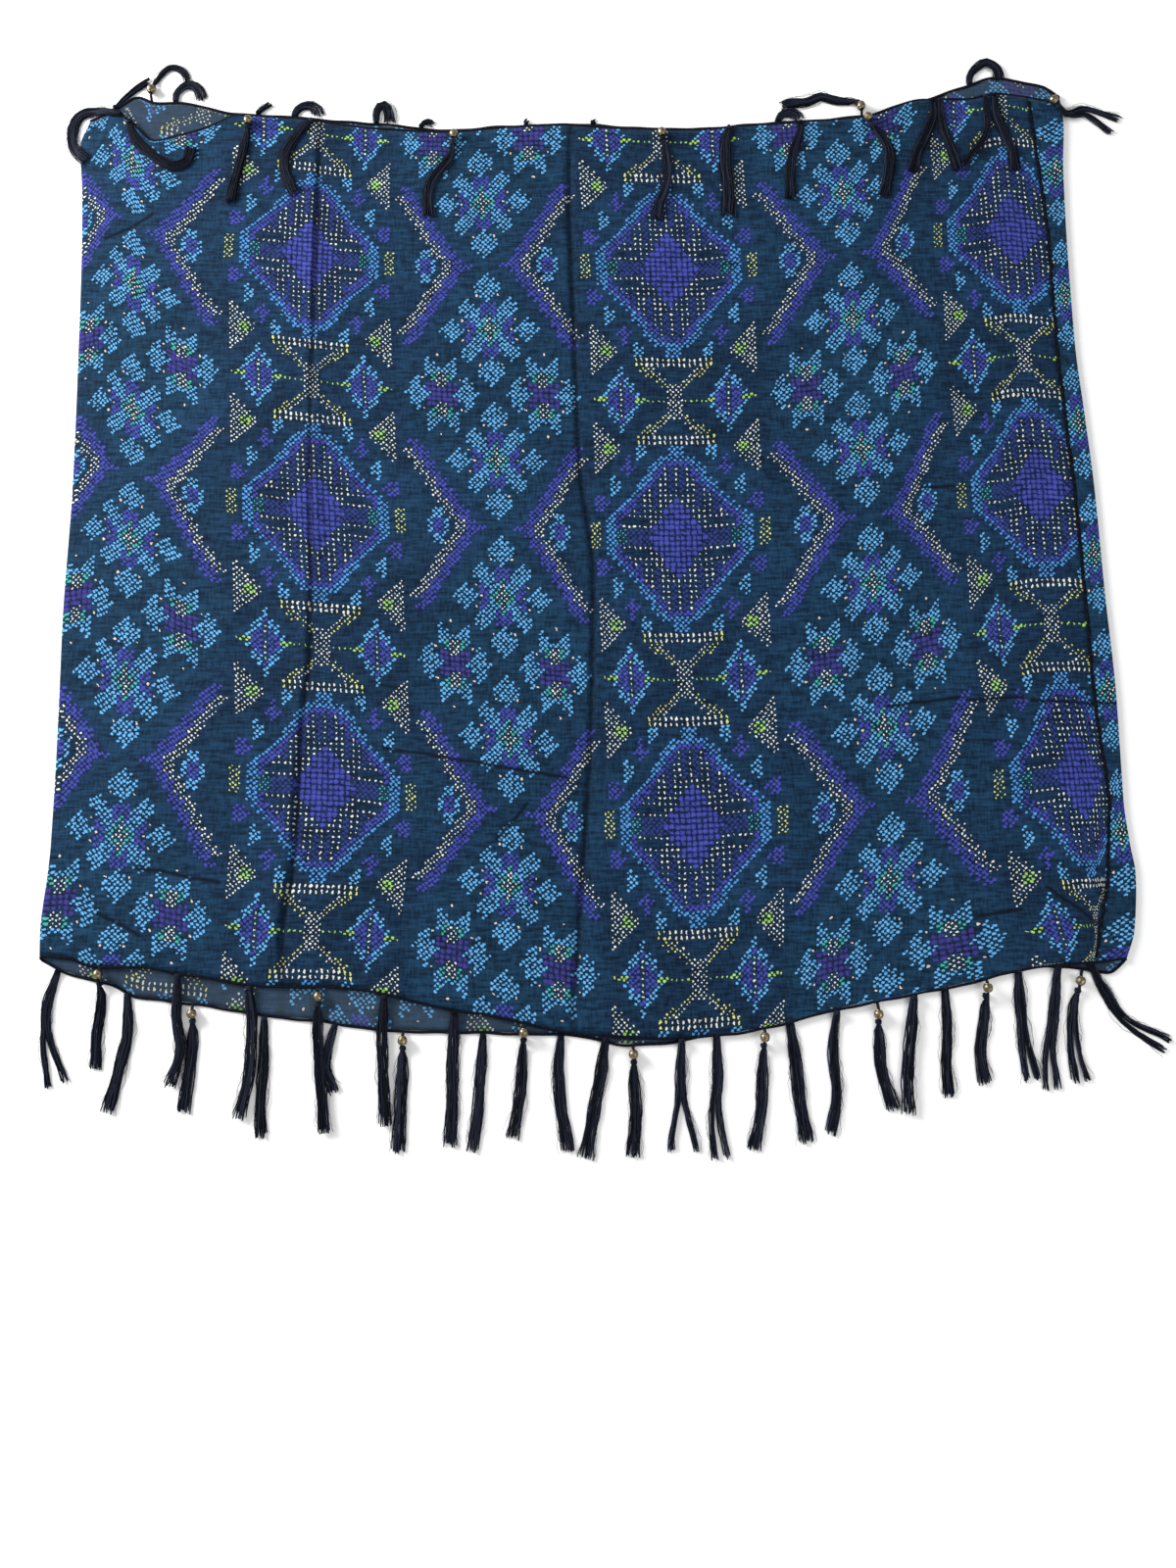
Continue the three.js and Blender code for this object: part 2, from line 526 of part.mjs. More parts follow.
// The flat way of a tassel's middle, and how far along it each length lies.
function tasselPath(row, root) {
  const points = [new THREE.Vector3(root.x, root.y, 0)];
  routeOf(row).forEach(([dx, dy]) => points.push(new THREE.Vector3(root.x + dx, root.y + dy, 0)));
  const curve = new THREE.CatmullRomCurve3(points, false, 'centripetal');
  return {
    length: curve.getLength(),
    at: (t) => curve.getPointAt(Math.min(t, 1)),
    way: (t) => curve.getTangentAt(Math.min(t, 1)),
  };
}

const beadPlace = (row) => (row.neck ?? NECK_LENGTH) + BEAD_LENGTH / 2;

function headSpan(row, path) {
  const span = row.bead ? beadPlace(row) + BEAD_LENGTH / 2 + 2 * KNOT_RADIUS : HEAD_LENGTH;
  return Math.min(span, path.length * LONGEST_HEAD);
}

// The bundle's head: a flat knot, or a neck through a bead with a round knot under it.
function headStops(row, root, path) {
  const stop = (distance, height, width) => {
    const at = path.at(distance / path.length);
    const ground = groundNear(at, HEAD_WIDTH + GROUND_MARGIN, row);
    return { at: at.setZ(ground + PIECE_GAP + height), width, height };
  };
  const end = (distance) => stop(distance, STRAND_HEIGHT, HEAD_WIDTH * HEAD_END);
  const start = { at: root.clone(), width: HEAD_WIDTH / 2, height: HEM_THICK / 2 - ROOT_INSET };
  if (!row.bead) {
    const span = headSpan(row, path);
    const crown = stop(span * HEAD_CROWN, HEAD_HEIGHT, HEAD_WIDTH);
    return [...(row.turnsIn ? overTheHem(root, path) : [start]), crown, end(span)];
  }
  const bead = beadMiddle(row, path);
  const axis = path.way(beadPlace(row) / path.length);
  const neck = (at) => ({ at, width: NECK_SIZE, height: NECK_SIZE });
  const clear = BEAD_LENGTH / 2 + BEAD_TO_KNOT;
  const knotPlace = beadPlace(row) + clear + KNOT_RADIUS;
  const low = path.at((LOW_NECK * (row.neck ?? 0)) / path.length).setZ(PIECE_GAP + NECK_SIZE);
  return [
    start,
    ...(row.neck ? [neck(low)] : []),
    neck(bead.clone().addScaledVector(axis, -clear)),
    neck(bead.clone().addScaledVector(axis, clear)),
    stop(knotPlace, KNOT_RADIUS * KNOT_FLATTENING, KNOT_RADIUS),
    end(knotPlace + KNOT_RADIUS),
  ];
}

// A bundle that turns back onto its own layer first climbs over the hem.
function overTheHem(root, path) {
  const lip = path.at(LIP_AHEAD / path.length).setZ(FRONT_TOP + PIECE_GAP + LIP_HEIGHT);
  const foot = root.clone().setZ(FRONT_TOP - LIP_HEIGHT / 2);
  return [
    { at: foot, width: HEAD_WIDTH / 2, height: LIP_HEIGHT },
    { at: lip, width: HEAD_WIDTH * HEAD_END, height: LIP_HEIGHT },
  ];
}

function beadMiddle(row, path) {
  const at = path.at(beadPlace(row) / path.length);
  const ground = groundNear(at, BEAD_DIAMETER / 2 + PIECE_GAP, row);
  return at.setZ(ground + PIECE_GAP + BEAD_DIAMETER / 2);
}

// One strand of a tassel. place counts from its middle strand, and headEnd is where the head ends.
function strandStops(row, path, place, index, headEnd) {
  const from = (headSpan(row, path) - STRAND_ROOT) / path.length;
  const to = 1 - CUT_STEP * ((index * 3) % 4);
  const lift = row.over ? 2 * (PIECE_GAP + STRAND_HEIGHT) : 0;
  const spacing = ((to - from) * path.length) / (STRAND_STATIONS - 1);
  return range(from, to, STRAND_STATIONS - 1).map((t) => {
    const size = t === from ? ROOT_SIZE : 1;
    const at = path.at(t);
    const way = path.way(t);
    const across = new THREE.Vector3(-way.y, way.x, 0);
    const leg = ((row.fork ?? 0) / 2) * Math.sign(place) * smoothstep(t, 0.5, 1);
    at.addScaledVector(across, place * STRAND_PITCH * size + leg);
    const ground = Math.max(groundNear(at, spacing, row), lift);
    at.setZ(t === from ? headEnd.z : ground + PIECE_GAP + STRAND_HEIGHT * STRAND_REST);
    return { at, width: STRAND_WIDTH * size, height: STRAND_HEIGHT * Math.sqrt(size) };
  });
}

function tassel(row, strip) {
  const root = rootOf(row, strip);
  const path = tasselPath(row, root);
  const head = headStops(row, root, path);
  const last = (row.strands ?? 3) - 1;
  const places = range(-last / 2, last / 2, last);
  const strands = places.map((place, i) => tube(strandStops(row, path, place, i, head.at(-1).at), 3));
  return [tube(head, 4), ...strands];
}

function beadMesh(row, strip) {
  const path = tasselPath(row, rootOf(row, strip));
  const half = BEAD_LENGTH / 2;
  const profile = [
    [BEAD_HOLE_RADIUS, -half],
    [BEAD_MOUTH_RADIUS, -half],
    [BEAD_DIAMETER / 2, -BEAD_BELT],
    [BEAD_DIAMETER / 2, BEAD_BELT],
    [BEAD_MOUTH_RADIUS, half],
    [BEAD_HOLE_RADIUS, half],
    [BEAD_HOLE_RADIUS, -half],
  ];
  const geometry = new THREE.LatheGeometry(profile.map(([r, y]) => new THREE.Vector2(r, y)), BEAD_SIDES);
  const mesh = new THREE.Mesh(geometry, brass.clone());
  mesh.position.copy(beadMiddle(row, path));
  mesh.quaternion.setFromUnitVectors(new THREE.Vector3(0, 1, 0), path.way(beadPlace(row) / path.length));
  return mesh;
}

// ---- The scarf ----

const printedCloth = new THREE.MeshStandardMaterial({ color: 0x203a4e, roughness: 0.92, metalness: 0 });
const threadBlack = new THREE.MeshStandardMaterial({ color: 0x12141e, roughness: 0.8, metalness: 0 });
const brass = new THREE.MeshStandardMaterial({ color: 0x968769, roughness: 0.42, metalness: 1 });

const scarf = new THREE.Group();

function add(name, geometry, material) {
  const mesh = new THREE.Mesh(geometry, material.clone());
  mesh.name = name;
  scarf.add(mesh);
}

add('front_stretch', clothWall(frontStations()), printedCloth);
add('back_stretch', clothWall(backStations()), printedCloth);
add('ring_seam', seamStrip(), threadBlack);

const fringes = [
  { hem: 'front', edge: 'bottom', rows: BOTTOM_TASSELS },
  { hem: 'back', edge: 'bottom', rows: BOTTOM_TASSELS },
  { hem: 'front', edge: 'top', rows: TOP_TASSELS },
  { hem: 'back', edge: 'top', rows: TOP_TASSELS },
];
for (const fringe of fringes) {
  const stations = fringe.hem === 'front' ? frontStations() : backStations();
  const strip = hemLine(stations, fringe.edge, MIDDLE_OF_HEM).map(({ point }) => point);
  const rows = fringe.rows.filter((row) => row.hem === fringe.hem);
  const pieces = [hemStrip(stations, fringe.edge), ...rows.flatMap((row) => tassel(row, strip))];
  add(`${fringe.hem}_${fringe.edge}_fringe`, fuse(pieces), threadBlack);
  rows.filter((row) => row.bead).forEach((row, i) => {
    const bead = beadMesh(row, strip);
    bead.name = `bead_${fringe.hem}_${fringe.edge}_${i + 1}`;
    scarf.add(bead);
  });
}

// The origin is under the middle of the whole, on the surface that it lies on.
const box = new THREE.Box3().setFromObject(scarf);
const centre = box.getCenter(new THREE.Vector3());
scarf.position.set(-centre.x, -centre.y, -box.min.z);

export default scarf;
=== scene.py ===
"""Infinity scarf laid flat: printed viscose, thread-bound hems, yarn tassels and brass beads.

The tables are in millimetres, with X along the loop and Y up from the bottom hem. Meshes are in metres.
"""

import math

import bpy
import numpy as np
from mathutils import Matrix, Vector


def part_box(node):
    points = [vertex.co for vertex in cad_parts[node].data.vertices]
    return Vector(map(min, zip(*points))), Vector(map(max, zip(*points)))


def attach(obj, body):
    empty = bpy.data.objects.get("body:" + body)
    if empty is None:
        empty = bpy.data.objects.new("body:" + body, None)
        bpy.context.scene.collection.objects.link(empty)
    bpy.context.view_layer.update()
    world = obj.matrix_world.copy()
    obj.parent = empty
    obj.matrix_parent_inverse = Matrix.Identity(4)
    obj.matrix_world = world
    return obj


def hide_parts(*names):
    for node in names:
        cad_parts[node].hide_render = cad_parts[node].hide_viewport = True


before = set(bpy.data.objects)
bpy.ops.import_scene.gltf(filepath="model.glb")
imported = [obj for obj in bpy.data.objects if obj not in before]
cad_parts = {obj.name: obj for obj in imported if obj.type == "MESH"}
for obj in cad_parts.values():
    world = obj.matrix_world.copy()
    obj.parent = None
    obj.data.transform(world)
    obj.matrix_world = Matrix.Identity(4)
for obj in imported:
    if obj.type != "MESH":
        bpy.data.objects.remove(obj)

bl_info = {
    "name": "Infinity scarf",
    "version": (1, 0, 0),
    "blender": (4, 5, 0),
    "location": "View3D > Sidebar > Scarf",
    "description": "Builds a printed infinity scarf with tassels and beads, laid flat",
    "category": "Object",
}

MM = 0.001
# The solids' middle on the tables, which is the frame's origin.
TABLE_MIDDLE = np.array([7.2012, 335.8203, 0.0])

# ---- Layers of the flattened loop ----

FOLD_DEPTH = 1.7          # from a folded side's outermost line to where the layers are flat
TOP_OF_FRONT = 3.4        # outer face of the front layer, before its relief
HEM_LOW = 0.9             # middle of the back hem
HEM_RADIUS = 1.0          # and the radius at which a hem goes round a folded side
FRONT_HEM_TOP = 3.6
BACK_HEM_TOP = 1.7
GAP = 0.3                 # air between what lies on a layer and the layer

# X of both folded sides and of the ring seam, at these shares of the way up.
SIDE_UPS = (0, 0.03, 0.09, 0.12, 0.17, 0.27, 0.40, 0.52, 0.60, 0.70, 0.82, 0.91, 0.97, 1)
SIDES = {
    "left": (-455, -456, -453, -452, -452, -453, -455, -454, -455, -457, -460, -464, -468, -461),
    "right": (447, 455, 459, 456, 453, 453, 449, 446, 442, 437, 436, 437, 440, 438),
    "seam": (420, 425, 435, 437, 440, 434, 431, 428, 424, 420, 419, 414, 410, 408),
}

# The hems of both layers: along, back top, front top, front bottom, back bottom.
HEMS = (
    (0.000, 767, 766, 3, 0),
    (0.025, 781, 774, 3, -10),
    (0.045, 792, 762, -4, -15),
    (0.065, 786, 746, -5, -19),
    (0.090, 786, 751, -5, -30),
    (0.120, 780, 759, -9, -33),
    (0.150, 775, 772, -13, -36),
    (0.210, 771, 769, -21, -45),
    (0.260, 767, 762, -21, -49),
    (0.310, 763, 757, -26, -56),
    (0.370, 758, 755, -38, -58),
    (0.430, 762, 760, -47, -59),
    (0.485, 764, 762, -58, -60),
    (0.540, 762, 759, -62, -68),
    (0.575, 760, 758, -63, -67),
    (0.615, 759, 757, -61, -60),
    (0.670, 763, 761, -54, -51),
    (0.730, 767, 765, -40, -37),
    (0.800, 773, 771, -28, -25),
    (0.860, 788, 788, -17, -14),
    (0.900, 801, 788, -8, -6),
    (0.940, 812, 794, -3, -4),
    (0.970, 806, 790, -1, -8),
    (0.985, 803, 787, 0, -10),
    (1.000, 793, 790, 2, 0),
)

# Creases of the front layer that run up it: rise, half width, then the places (y, x) they pass.
LONG_CREASES = (
    (1.7, 7.0, ((0, -263), (330, -241), (700, -252))),
    (-0.3, 7.0, ((0, -8), (400, 2), (740, -20))),
    (-1.9, 2.5, ((-40, -12), (90, -3), (200, 3), (330, 5), (430, -7), (520, -11), (680, -17))),
    (
        -1.9,
        2.5,
        ((-40, -252), (20, -254), (90, -246), (200, -244), (260, -239), (480, -246), (700, -247)),
    ),
)
# Short creases, each a soft ridge or trough: rise, half width, from (x, y), to (x, y).
SHORT_CREASES = (
    (1.4, 8.0, (236, 217), (470, 217)),
    (1.2, 8.0, (-190, 167), (10, 167)),
    (1.3, 5.0, (-173, 178), (-18, 152)),
    (-1.4, 5.0, (250, 208), (452, 219)),
    (1.2, 4.5, (320, 222), (395, 238)),
    (-1.2, 4.5, (-52, 130), (-76, 100)),
    (1.3, 4.8, (10, -15), (46, -17)),
    (-1.3, 4.8, (292, 412), (322, 412)),
    (1.2, 4.5, (372, 500), (392, 496)),
    (1.3, 5.0, (325, 40), (362, 46)),
    (-1.6, 4.8, (-378, 76), (-308, 64)),
    (-1.4, 4.5, (-408, 38), (-372, 20)),
    (1.2, 4.5, (-462, 84), (-446, 84)),
    (1.5, 5.0, (392, 92), (444, 40)),
    (-1.5, 4.8, (384, 60), (438, 18)),
    (1.4, 4.8, (404, 120), (440, 84)),
    (1.1, 7.0, (-420, 560), (-330, 610)),
    (-1.1, 7.0, (120, 620), (190, 560)),
    (1.1, 8.0, (-150, 420), (-60, 470)),
    (-1.1, 8.0, (180, 330), (260, 290)),
    (-1.4, 5.0, (-438, 648), (-396, 672)),
    (1.4, 6.0, (-420, 690), (-380, 668)),
    (1.0, 6.0, (-330, 250), (-290, 330)),
    (-1.0, 6.0, (300, 640), (352, 600)),
)
# The same kind of creases on the back layer's hidden face.
BACK_CREASES = (
    (0.25, 7.0, (-230, 20), (-214, 700)),
    (-0.25, 6.0, (20, -30), (8, 740)),
    (0.22, 7.0, (252, 60), (246, 690)),
    (0.20, 6.0, (-440, 214), (-190, 226)),
    (-0.20, 5.0, (60, 470), (240, 452)),
)
CREASE_FADE = 26.0        # length over which a short crease's ends fade
WIDE_CREASE = 6.0         # half width past which a crease is a wide one
WIDE_CREASE_FADE = 60.0
CREASE_SHADE_HALF_WIDTH = 3.2         # half width of the painted shade along a deep long trough
CREASE_SHADE_SHARE = 0.55        # share of the print's light that the painted shade takes away there
# Sharp folds, drawn as painted shade over a dip in the bump: from (x, y), to (x, y).
PRESSED_LINES = (
    ((256, 214), (290, 219)),
    ((286, 218), (318, 222)),
    ((324, 220), (372, 222)),
    ((380, 219), (452, 217)),
    ((-52, 130), (-76, 100)),
    ((-378, 76), (-308, 64)),
    ((-408, 38), (-372, 20)),
    ((384, 60), (410, 42)),
    ((410, 42), (438, 18)),
    ((292, 412), (322, 412)),
    ((326, 36), (362, 42)),
    ((-173, 178), (-18, 152)),
    ((-462, 84), (-446, 84)),
    ((-438, 648), (-396, 672)),
)
PRESSED_WIDTH = 2.8       # half width of a fold, with its soft edge
PRESSED_SHIFT = (2, 2, 0)  # moves the folds back from where their wander takes them
PRESSED_WANDER = 0.004    # metres
PRESSED_SHADE = 0.95      # share of the painted shade's colour in the middle of a fold
PRESSED_DEPTH = 2.0       # its depth, in the heights that the weave has
# Slow swells of the front layer: rise, length along X, length along Y, phase.
SWELLS = ((0.45, 330.0, 270.0, 0.0), (0.22, 141.0, 187.0, 1.3), (0.12, 67.0, 93.0, 2.1))
LEVEL_LEFT = 25.0         # how far in from the folded sides the front layer is level
LEVEL_RIGHT = 30.0
LEVEL_HEMS = 0.05         # and from the hems, as a share of the way up
PUCKER_PERIOD = 10.5      # of the gathers that the ring seam draws into the cloth
PUCKER_HEIGHT = 0.75
PUCKER_REACH = 16.0

# ---- Print ----

CELLS_UP = 168            # cells of the print from hem to hem
REPEAT_ACROSS = 68        # cells from medallion to medallion
REPEAT_UP = 52
FIRST_MEDALLION_ROW = 35
LEFT_CELL = -113.0        # the print's column at the left fold
SEAM_CELL = 75.0          # and at the ring seam
CELL_WIDTH = 4.74
# The x of some of the print's columns, from low on the cloth to high on it.
COLUMN_ROWS = (9, 35, 61, 87, 113, 139, 165)
COLUMN_PLACES = {
    -102: (-397, -396, -401, -403, -408, -414, -422),
    -68: (-232, -225, -231, -241, -249, -255, -252),
    -34: (-71, -67, -73, -79, -87, -95, -103),
    0: (90, 87, 81, 76, 75, 71, 64),
    34: (245, 253, 247, 244, 237, 235, 226),
    68: (422, 415, 398, 395, 388, 385, 380),
}
# How many cells the print has slipped along the cloth at some of its columns, up at the left and
# down at the lower right, and the shares of the height over which each slip comes and goes.
LEFT_SLIPS = ((-150, 0), (-113, 6.4), (-102, 6.4), (-97, 5.4), (-92, 2.8), (-86, 1.0), (-68, 0))
LEFT_SLIP_UPS = (0.01, 0.44)
RIGHT_SLIPS = ((8, 0), (24, -1.5), (34, -1.8), (46, -2.5), (60, -3.2), (80, -3.2))
RIGHT_SLIP_UPS = (0.12, 0.42)
# How much of the print a turned hem hides at the top left, as (share along the cloth, share of the height).
TURNED_HEM = (
    (0, 0),
    (0.025, 0),
    (0.045, 0.006),
    (0.065, 0.017),
    (0.09, 0.014),
    (0.12, 0.009),
    (0.15, 0),
)
SQUEEZED = 0.05           # of a row's height that is left where the print runs out under a hem
FINE_BANDS = ((-74, -62), (-23, -11))  # cells across which the long creases run, drawn three times finer
BACK_CELLS = 190          # cells across the back layer
PAST_CELLS = 4            # and from the right fold to the ring seam

# A printed mark's half width and half height in cells, then how far each of a slanting pair lies
# from the middle of its cell.
MARKS = {
    "none": (0.001, 0.001, 0),
    "dot": (0.15, 0.18, 0),
    "spot": (0.20, 0.20, 0),
    "dash": (0.17, 0.33, 0),
    "grains": (0.16, 0.16, 0.24),
    "ovals": (0.28, 0.235, 0.24),
    "lattice": (0.33, 0.29, 0.24),
    "block": (0.43, 0.40, 0),
}
INKS = ("blue", "azure", "violet", "purple", "plum", "cream", "yellow", "lime", "teal", "pink")
DYE_TINT = 0.12           # share of an ink that bleeds into the ground under a filled shape
DYE_COVER = 0.30          # and of the ground that it takes away
SHADOW_SHARE = 0.75       # of the darker dye round the pale marks
LEAF_SHARE = 0.4          # of the greener dye round the flowers

# ---- Tassels ----

# Bottom hems: hem, place along it, drop, sideways moves at a third, two thirds and the tip, then what
# is unusual: a bead, a bundle that lies over its neighbours, a longer neck above the bead, or a fork
# as wide as this at the tip.
BOTTOM_TASSELS = (
    ("back", -439, 94, -8, -5, 5, {"fork": 9}),
    ("front", -404, 84, 2, 0, 1, {"bead": True}),
    ("back", -381, 97, 2, -4, -11, {}),
    ("front", -339, 93, 0, 5, -3, {"over": True}),
    ("back", -326, 88, 1, -1, -4, {"bead": True}),
    ("front", -280, 108, 4, 3, -4, {"over": True}),
    ("back", -267, 98, 1, 0, 1, {}),
    ("front", -222, 118, 0, 4, 8, {"bead": True, "over": True}),
    ("back", -208, 56, -5, -7, 2, {}),
    ("front", -168, 106, -1, 1, 4, {"over": True}),
    ("back", -152, 98, 0, -1, -2, {"bead": True}),
    ("front", -110, 110, -1, -1, -2, {}),
    ("back", -86, 95, -2, -4, -8, {}),
    ("front", -52, 93, -2, -4, -10, {"bead": True}),
    ("back", -22, 94, -2, 1, 7, {}),
    ("front", 15, 98, -5, -11, -17, {}),
    ("back", 37, 90, 1, 2, -1, {"bead": True}),
    ("front", 77, 92, -1, -1, 1, {"fork": 16}),
    ("back", 106, 101, 0, -2, 2, {"fork": 6}),
    ("front", 145, 98, -2, -4, -11, {"bead": True}),
    ("back", 166, 100, 4, 7, 12, {}),
    ("front", 205, 101, -4, -2, -8, {}),
    ("back", 239, 92, 0, 2, 11, {"bead": True, "neck": 9}),
    ("front", 269, 97, -4, -8, -8, {"over": True}),
    ("back", 295, 92, 1, -1, 0, {}),
    ("front", 329, 86, -2, -7, -4, {"bead": True}),
    ("back", 357, 92, 0, 2, 7, {"fork": 4}),
    ("front", 389, 102, -4, -10, -10, {"fork": 4}),
    ("back", 410, 92, -9, -11, -6, {"bead": True, "neck": 8, "fork": 4}),
    ("front", 415, 68, 12, 26, 62, {"fork": 5}),
)

# Top hems: hem, place along it, the route from there, then what is unusual. past marks the stretch that
# has come round the right side.
TOP_TASSELS = (
    ("front", -431, ((-10, 3), (-25, 5), (-39, 2), (-46, -12), (-45, -28), (-38, -39), (-28, -48)), {}),
    ("front", -424, ((4, -15), (14, -28), (29, -40), (44, -47), (56, -42), (59, -26)), {}),
    ("back", -440, ((6, 8), (16, 18), (26, 27), (33, 31)), {"thin": True}),
    ("back", -405, ((0, 8), (4, 24), (16, 36), (28, 31), (33, 20)), {"bead": True, "thin": True}),
    ("back", -383, ((0, 9), (4, 15), (11, 19), (18, 17), (23, 9), (24, 2)), {}),
    ("back", -307, ((4, 6), (13, 13)), {"thin": True}),
    ("front", -312, ((-1, -8), (-4, -30), (-8, -50), (-12, -68), (-15, -90)), {"bead": True}),
    ("back", -273, ((3, 8), (9, 12), (17, 12), (22, 7), (23, 1)), {}),
    ("front", -254, ((-7, -6), (-18, -21), (-24, -35), (-24, -50), (-19, -65), (-13, -76)), {}),
    ("back", -196, ((0, 13), (3, 19), (8, 19), (11, 12), (12, 1)), {}),
    ("back", -155, ((3, 6), (8, 7), (12, 2)), {"thin": True}),
    ("front", -122, ((-2, -10), (-5, -28), (-13, -38), (-20, -48), (-24, -64), (-23, -87)), {"bead": True}),
    ("back", -57, ((0, 4), (3, 5)), {"thin": True}),
    ("back", 5, ((0, 4), (3, 5)), {"thin": True}),
    ("front", 67, ((1, -8), (5, -26), (6, -44), (3, -62), (-2, -76), (-5, -92)), {"bead": True}),
    ("front", 131, ((-4, -12), (-5, -36), (-3, -62), (-4, -92)), {"wide": True}),
    ("back", 175, ((4, 8), (11, 11), (18, 9), (21, 3)), {}),
    ("front", 196, ((0, -10), (-6, -28), (-10, -52), (-11, -80)), {}),
    ("back", 254, ((-4, 13), (-24, 16), (-38, 20), (-50, 15), (-67, 13), (-76, 10)), {"bead": True}),
    ("front", 255, ((4, -8), (14, -19), (21, -32), (22, -47), (19, -66), (15, -84)), {"bead": True}),
    ("front", 319, ((0, -18), (-7, -36), (-15, -54), (-21, -77)), {}),
    ("front", 326, ((0, -18), (3, -34), (8, -52), (15, -74)), {}),
    ("back", 355, ((1, 10), (8, 19), (18, 24), (27, 17), (28, 4)), {}),
    ("front", 368, ((0, -14), (1, -30), (-4, -45), (-14, -58), (-24, -72)), {"thin": True}),
    ("front", 376, ((2, -22), (8, -42), (14, -58), (16, -80)), {}),
    (
        "back",
        424,
        ((7, -5), (18, -14), (36, -10), (50, -16), (66, -26)),
        {"past": True, "bead": True, "fork": 9},
    ),
)

NECK_LENGTH = 3.4         # from the hem to a bead
BEAD_LENGTH = 7.2
BEAD_RADIUS = 4.0
BEAD_TO_KNOT = 0.4
KNOT_RADIUS = 2.6
PLAIN_HEAD = 7.0          # a tassel's knotted part where it has no bead
LONGEST_HEAD = 0.6        # largest share of a tassel that its head takes
WIDE_BUNDLE = 1.22        # a thicker and a thinner tassel, as shares of a usual one
THIN_BUNDLE = 0.62
FEWEST_YARNS = 5
OVER_LIFT = 2.0           # height of a bundle that lies over its neighbours
HEM_MARGIN = 3.6          # how far past a layer's edge its hem still lifts a yarn
SIDE_MARGIN = 1.5

# Half a bundle's width, as shares of its full one, and the lengths over which it changes.
START_SHARE = 0.40
BODY_SHARE = 0.58
SPREAD_SHARE = 0.30
SPREAD_LENGTH = 22
CUT_END_SHARE = 0.20
CUT_END_LENGTH = 24
NECK_HALF_WIDTH = 1.1     # where the yarns pass through a bead

# One yarn.
YARN_STEP = 4.2           # between two points of it
FEWEST_STEPS = 8
UNEVEN_CUT = 4.5          # how much shorter than the longest it may be
TIP_LENGTH = 9            # over which it strays sideways and thins
TIP_STRAY = 0.9
SLOW_WAVE = (30, 60)      # lengths of its waves
QUICK_WAVE = (11, 19)
WAVE_TURN = 6.28
FORK_START = 0.45         # share of a tassel's length where a fork opens
YARN_REACH = 5.0          # over which it bridges uneven ground
KNOT_STEPS = 11           # points in each turn of a knot
PATH_STEPS = 24           # and between two places of a tassel's route


# ---- Curves through the tables ----


def linear(red, green, blue):
    """A screen colour, 0 to 255, as the linear light that Blender works in."""
    shares = (value / 255 for value in (red, green, blue))
    return tuple(s / 12.92 if s <= 0.04045 else ((s + 0.055) / 1.055) ** 2.4 for s in shares)


def curve_through(keys, values):
    """A smooth curve that never overshoots the places it passes. Each may be a row of values."""
    keys = np.array(keys, float)
    values = np.array(values, float)
    steps = (np.diff(values, axis=0).T / np.diff(keys)).T
    before = np.concatenate((steps[:1], steps))
    after = np.concatenate((steps, steps[-1:]))
    agree = before * after > 0
    slopes = np.where(agree, 2 * before * after / np.where(agree, before + after, 1), 0)

    def at(place):
        place = np.asarray(place, float)
        i = np.clip(np.searchsorted(keys, place) - 1, 0, len(keys) - 2)
        span = keys[i + 1] - keys[i]
        t = np.clip((place - keys[i]) / span, 0, 1)
        ease = t * t * (3 - 2 * t)
        leave = t * (1 - t) ** 2 * span * slopes[i]
        arrive = t * t * (1 - t) * span * slopes[i + 1]
        return values[i] + (values[i + 1] - values[i]) * ease + leave - arrive

    return at


def ease(value, low, high):
    """0 below low, 1 above high and a soft step between."""
    t = np.clip((value - low) / (high - low), 0, 1)
    return t * t * (3 - 2 * t)


SIDE = {name: curve_through(SIDE_UPS, values) for name, values in SIDES.items()}
HEM_COLUMNS = list(zip(*HEMS))
HEM = {
    ("back", "top"): curve_through(HEM_COLUMNS[0], HEM_COLUMNS[1]),
    ("front", "top"): curve_through(HEM_COLUMNS[0], HEM_COLUMNS[2]),
    ("front", "bottom"): curve_through(HEM_COLUMNS[0], HEM_COLUMNS[3]),
    ("back", "bottom"): curve_through(HEM_COLUMNS[0], HEM_COLUMNS[4]),
}
LONG_LINES = [(rise, half, curve_through(*zip(*places))) for rise, half, places in LONG_CREASES]
COLUMN_LINES = [
    curve_through(np.divide(COLUMN_ROWS, CELLS_UP), places) for places in COLUMN_PLACES.values()
]
LEFT_SLIP = curve_through(*zip(*LEFT_SLIPS))
RIGHT_SLIP = curve_through(*zip(*RIGHT_SLIPS))
TURNED = curve_through(*zip(*TURNED_HEM))


def left_flat(up):
    """X where the layers become flat beside the left fold."""
    return SIDE["left"](up) + FOLD_DEPTH


def right_flat(up):
    """X where they stop being flat before the right fold."""
    return SIDE["right"](up) - FOLD_DEPTH


def share_along(x, up):
    """How far along the flat part of a layer x lies, from 0 to 1."""
    return np.clip((x - left_flat(up)) / (right_flat(up) - left_flat(up)), 0, 1)


def layer_y(layer, along, up):
    """Y at a share of the way along and up a layer."""
    low = HEM[layer, "bottom"](along)
    return low + (HEM[layer, "top"](along) - low) * up


def short_crease(x, y, crease):
    """A soft ridge or trough along a straight line whose ends fade."""
    rise, half, start, end = crease
    run = np.subtract(end, start)
    length = np.hypot(*run)
    along = ((x - start[0]) * run[0] + (y - start[1]) * run[1]) / length
    off = ((x - start[0]) * run[1] - (y - start[1]) * run[0]) / length
    fade = min(WIDE_CREASE_FADE if half > WIDE_CREASE else CREASE_FADE, length / 2)
    ends = ease(along, 0, fade) * (1 - ease(along, length - fade, length))
    return rise * ends * np.exp(-((off / half) ** 2))


def beside_line(x, y, line, half):
    """1 on a line that runs up the cloth, fading to both sides of it."""
    return np.exp(-(((x - line(y)) / half) ** 2))


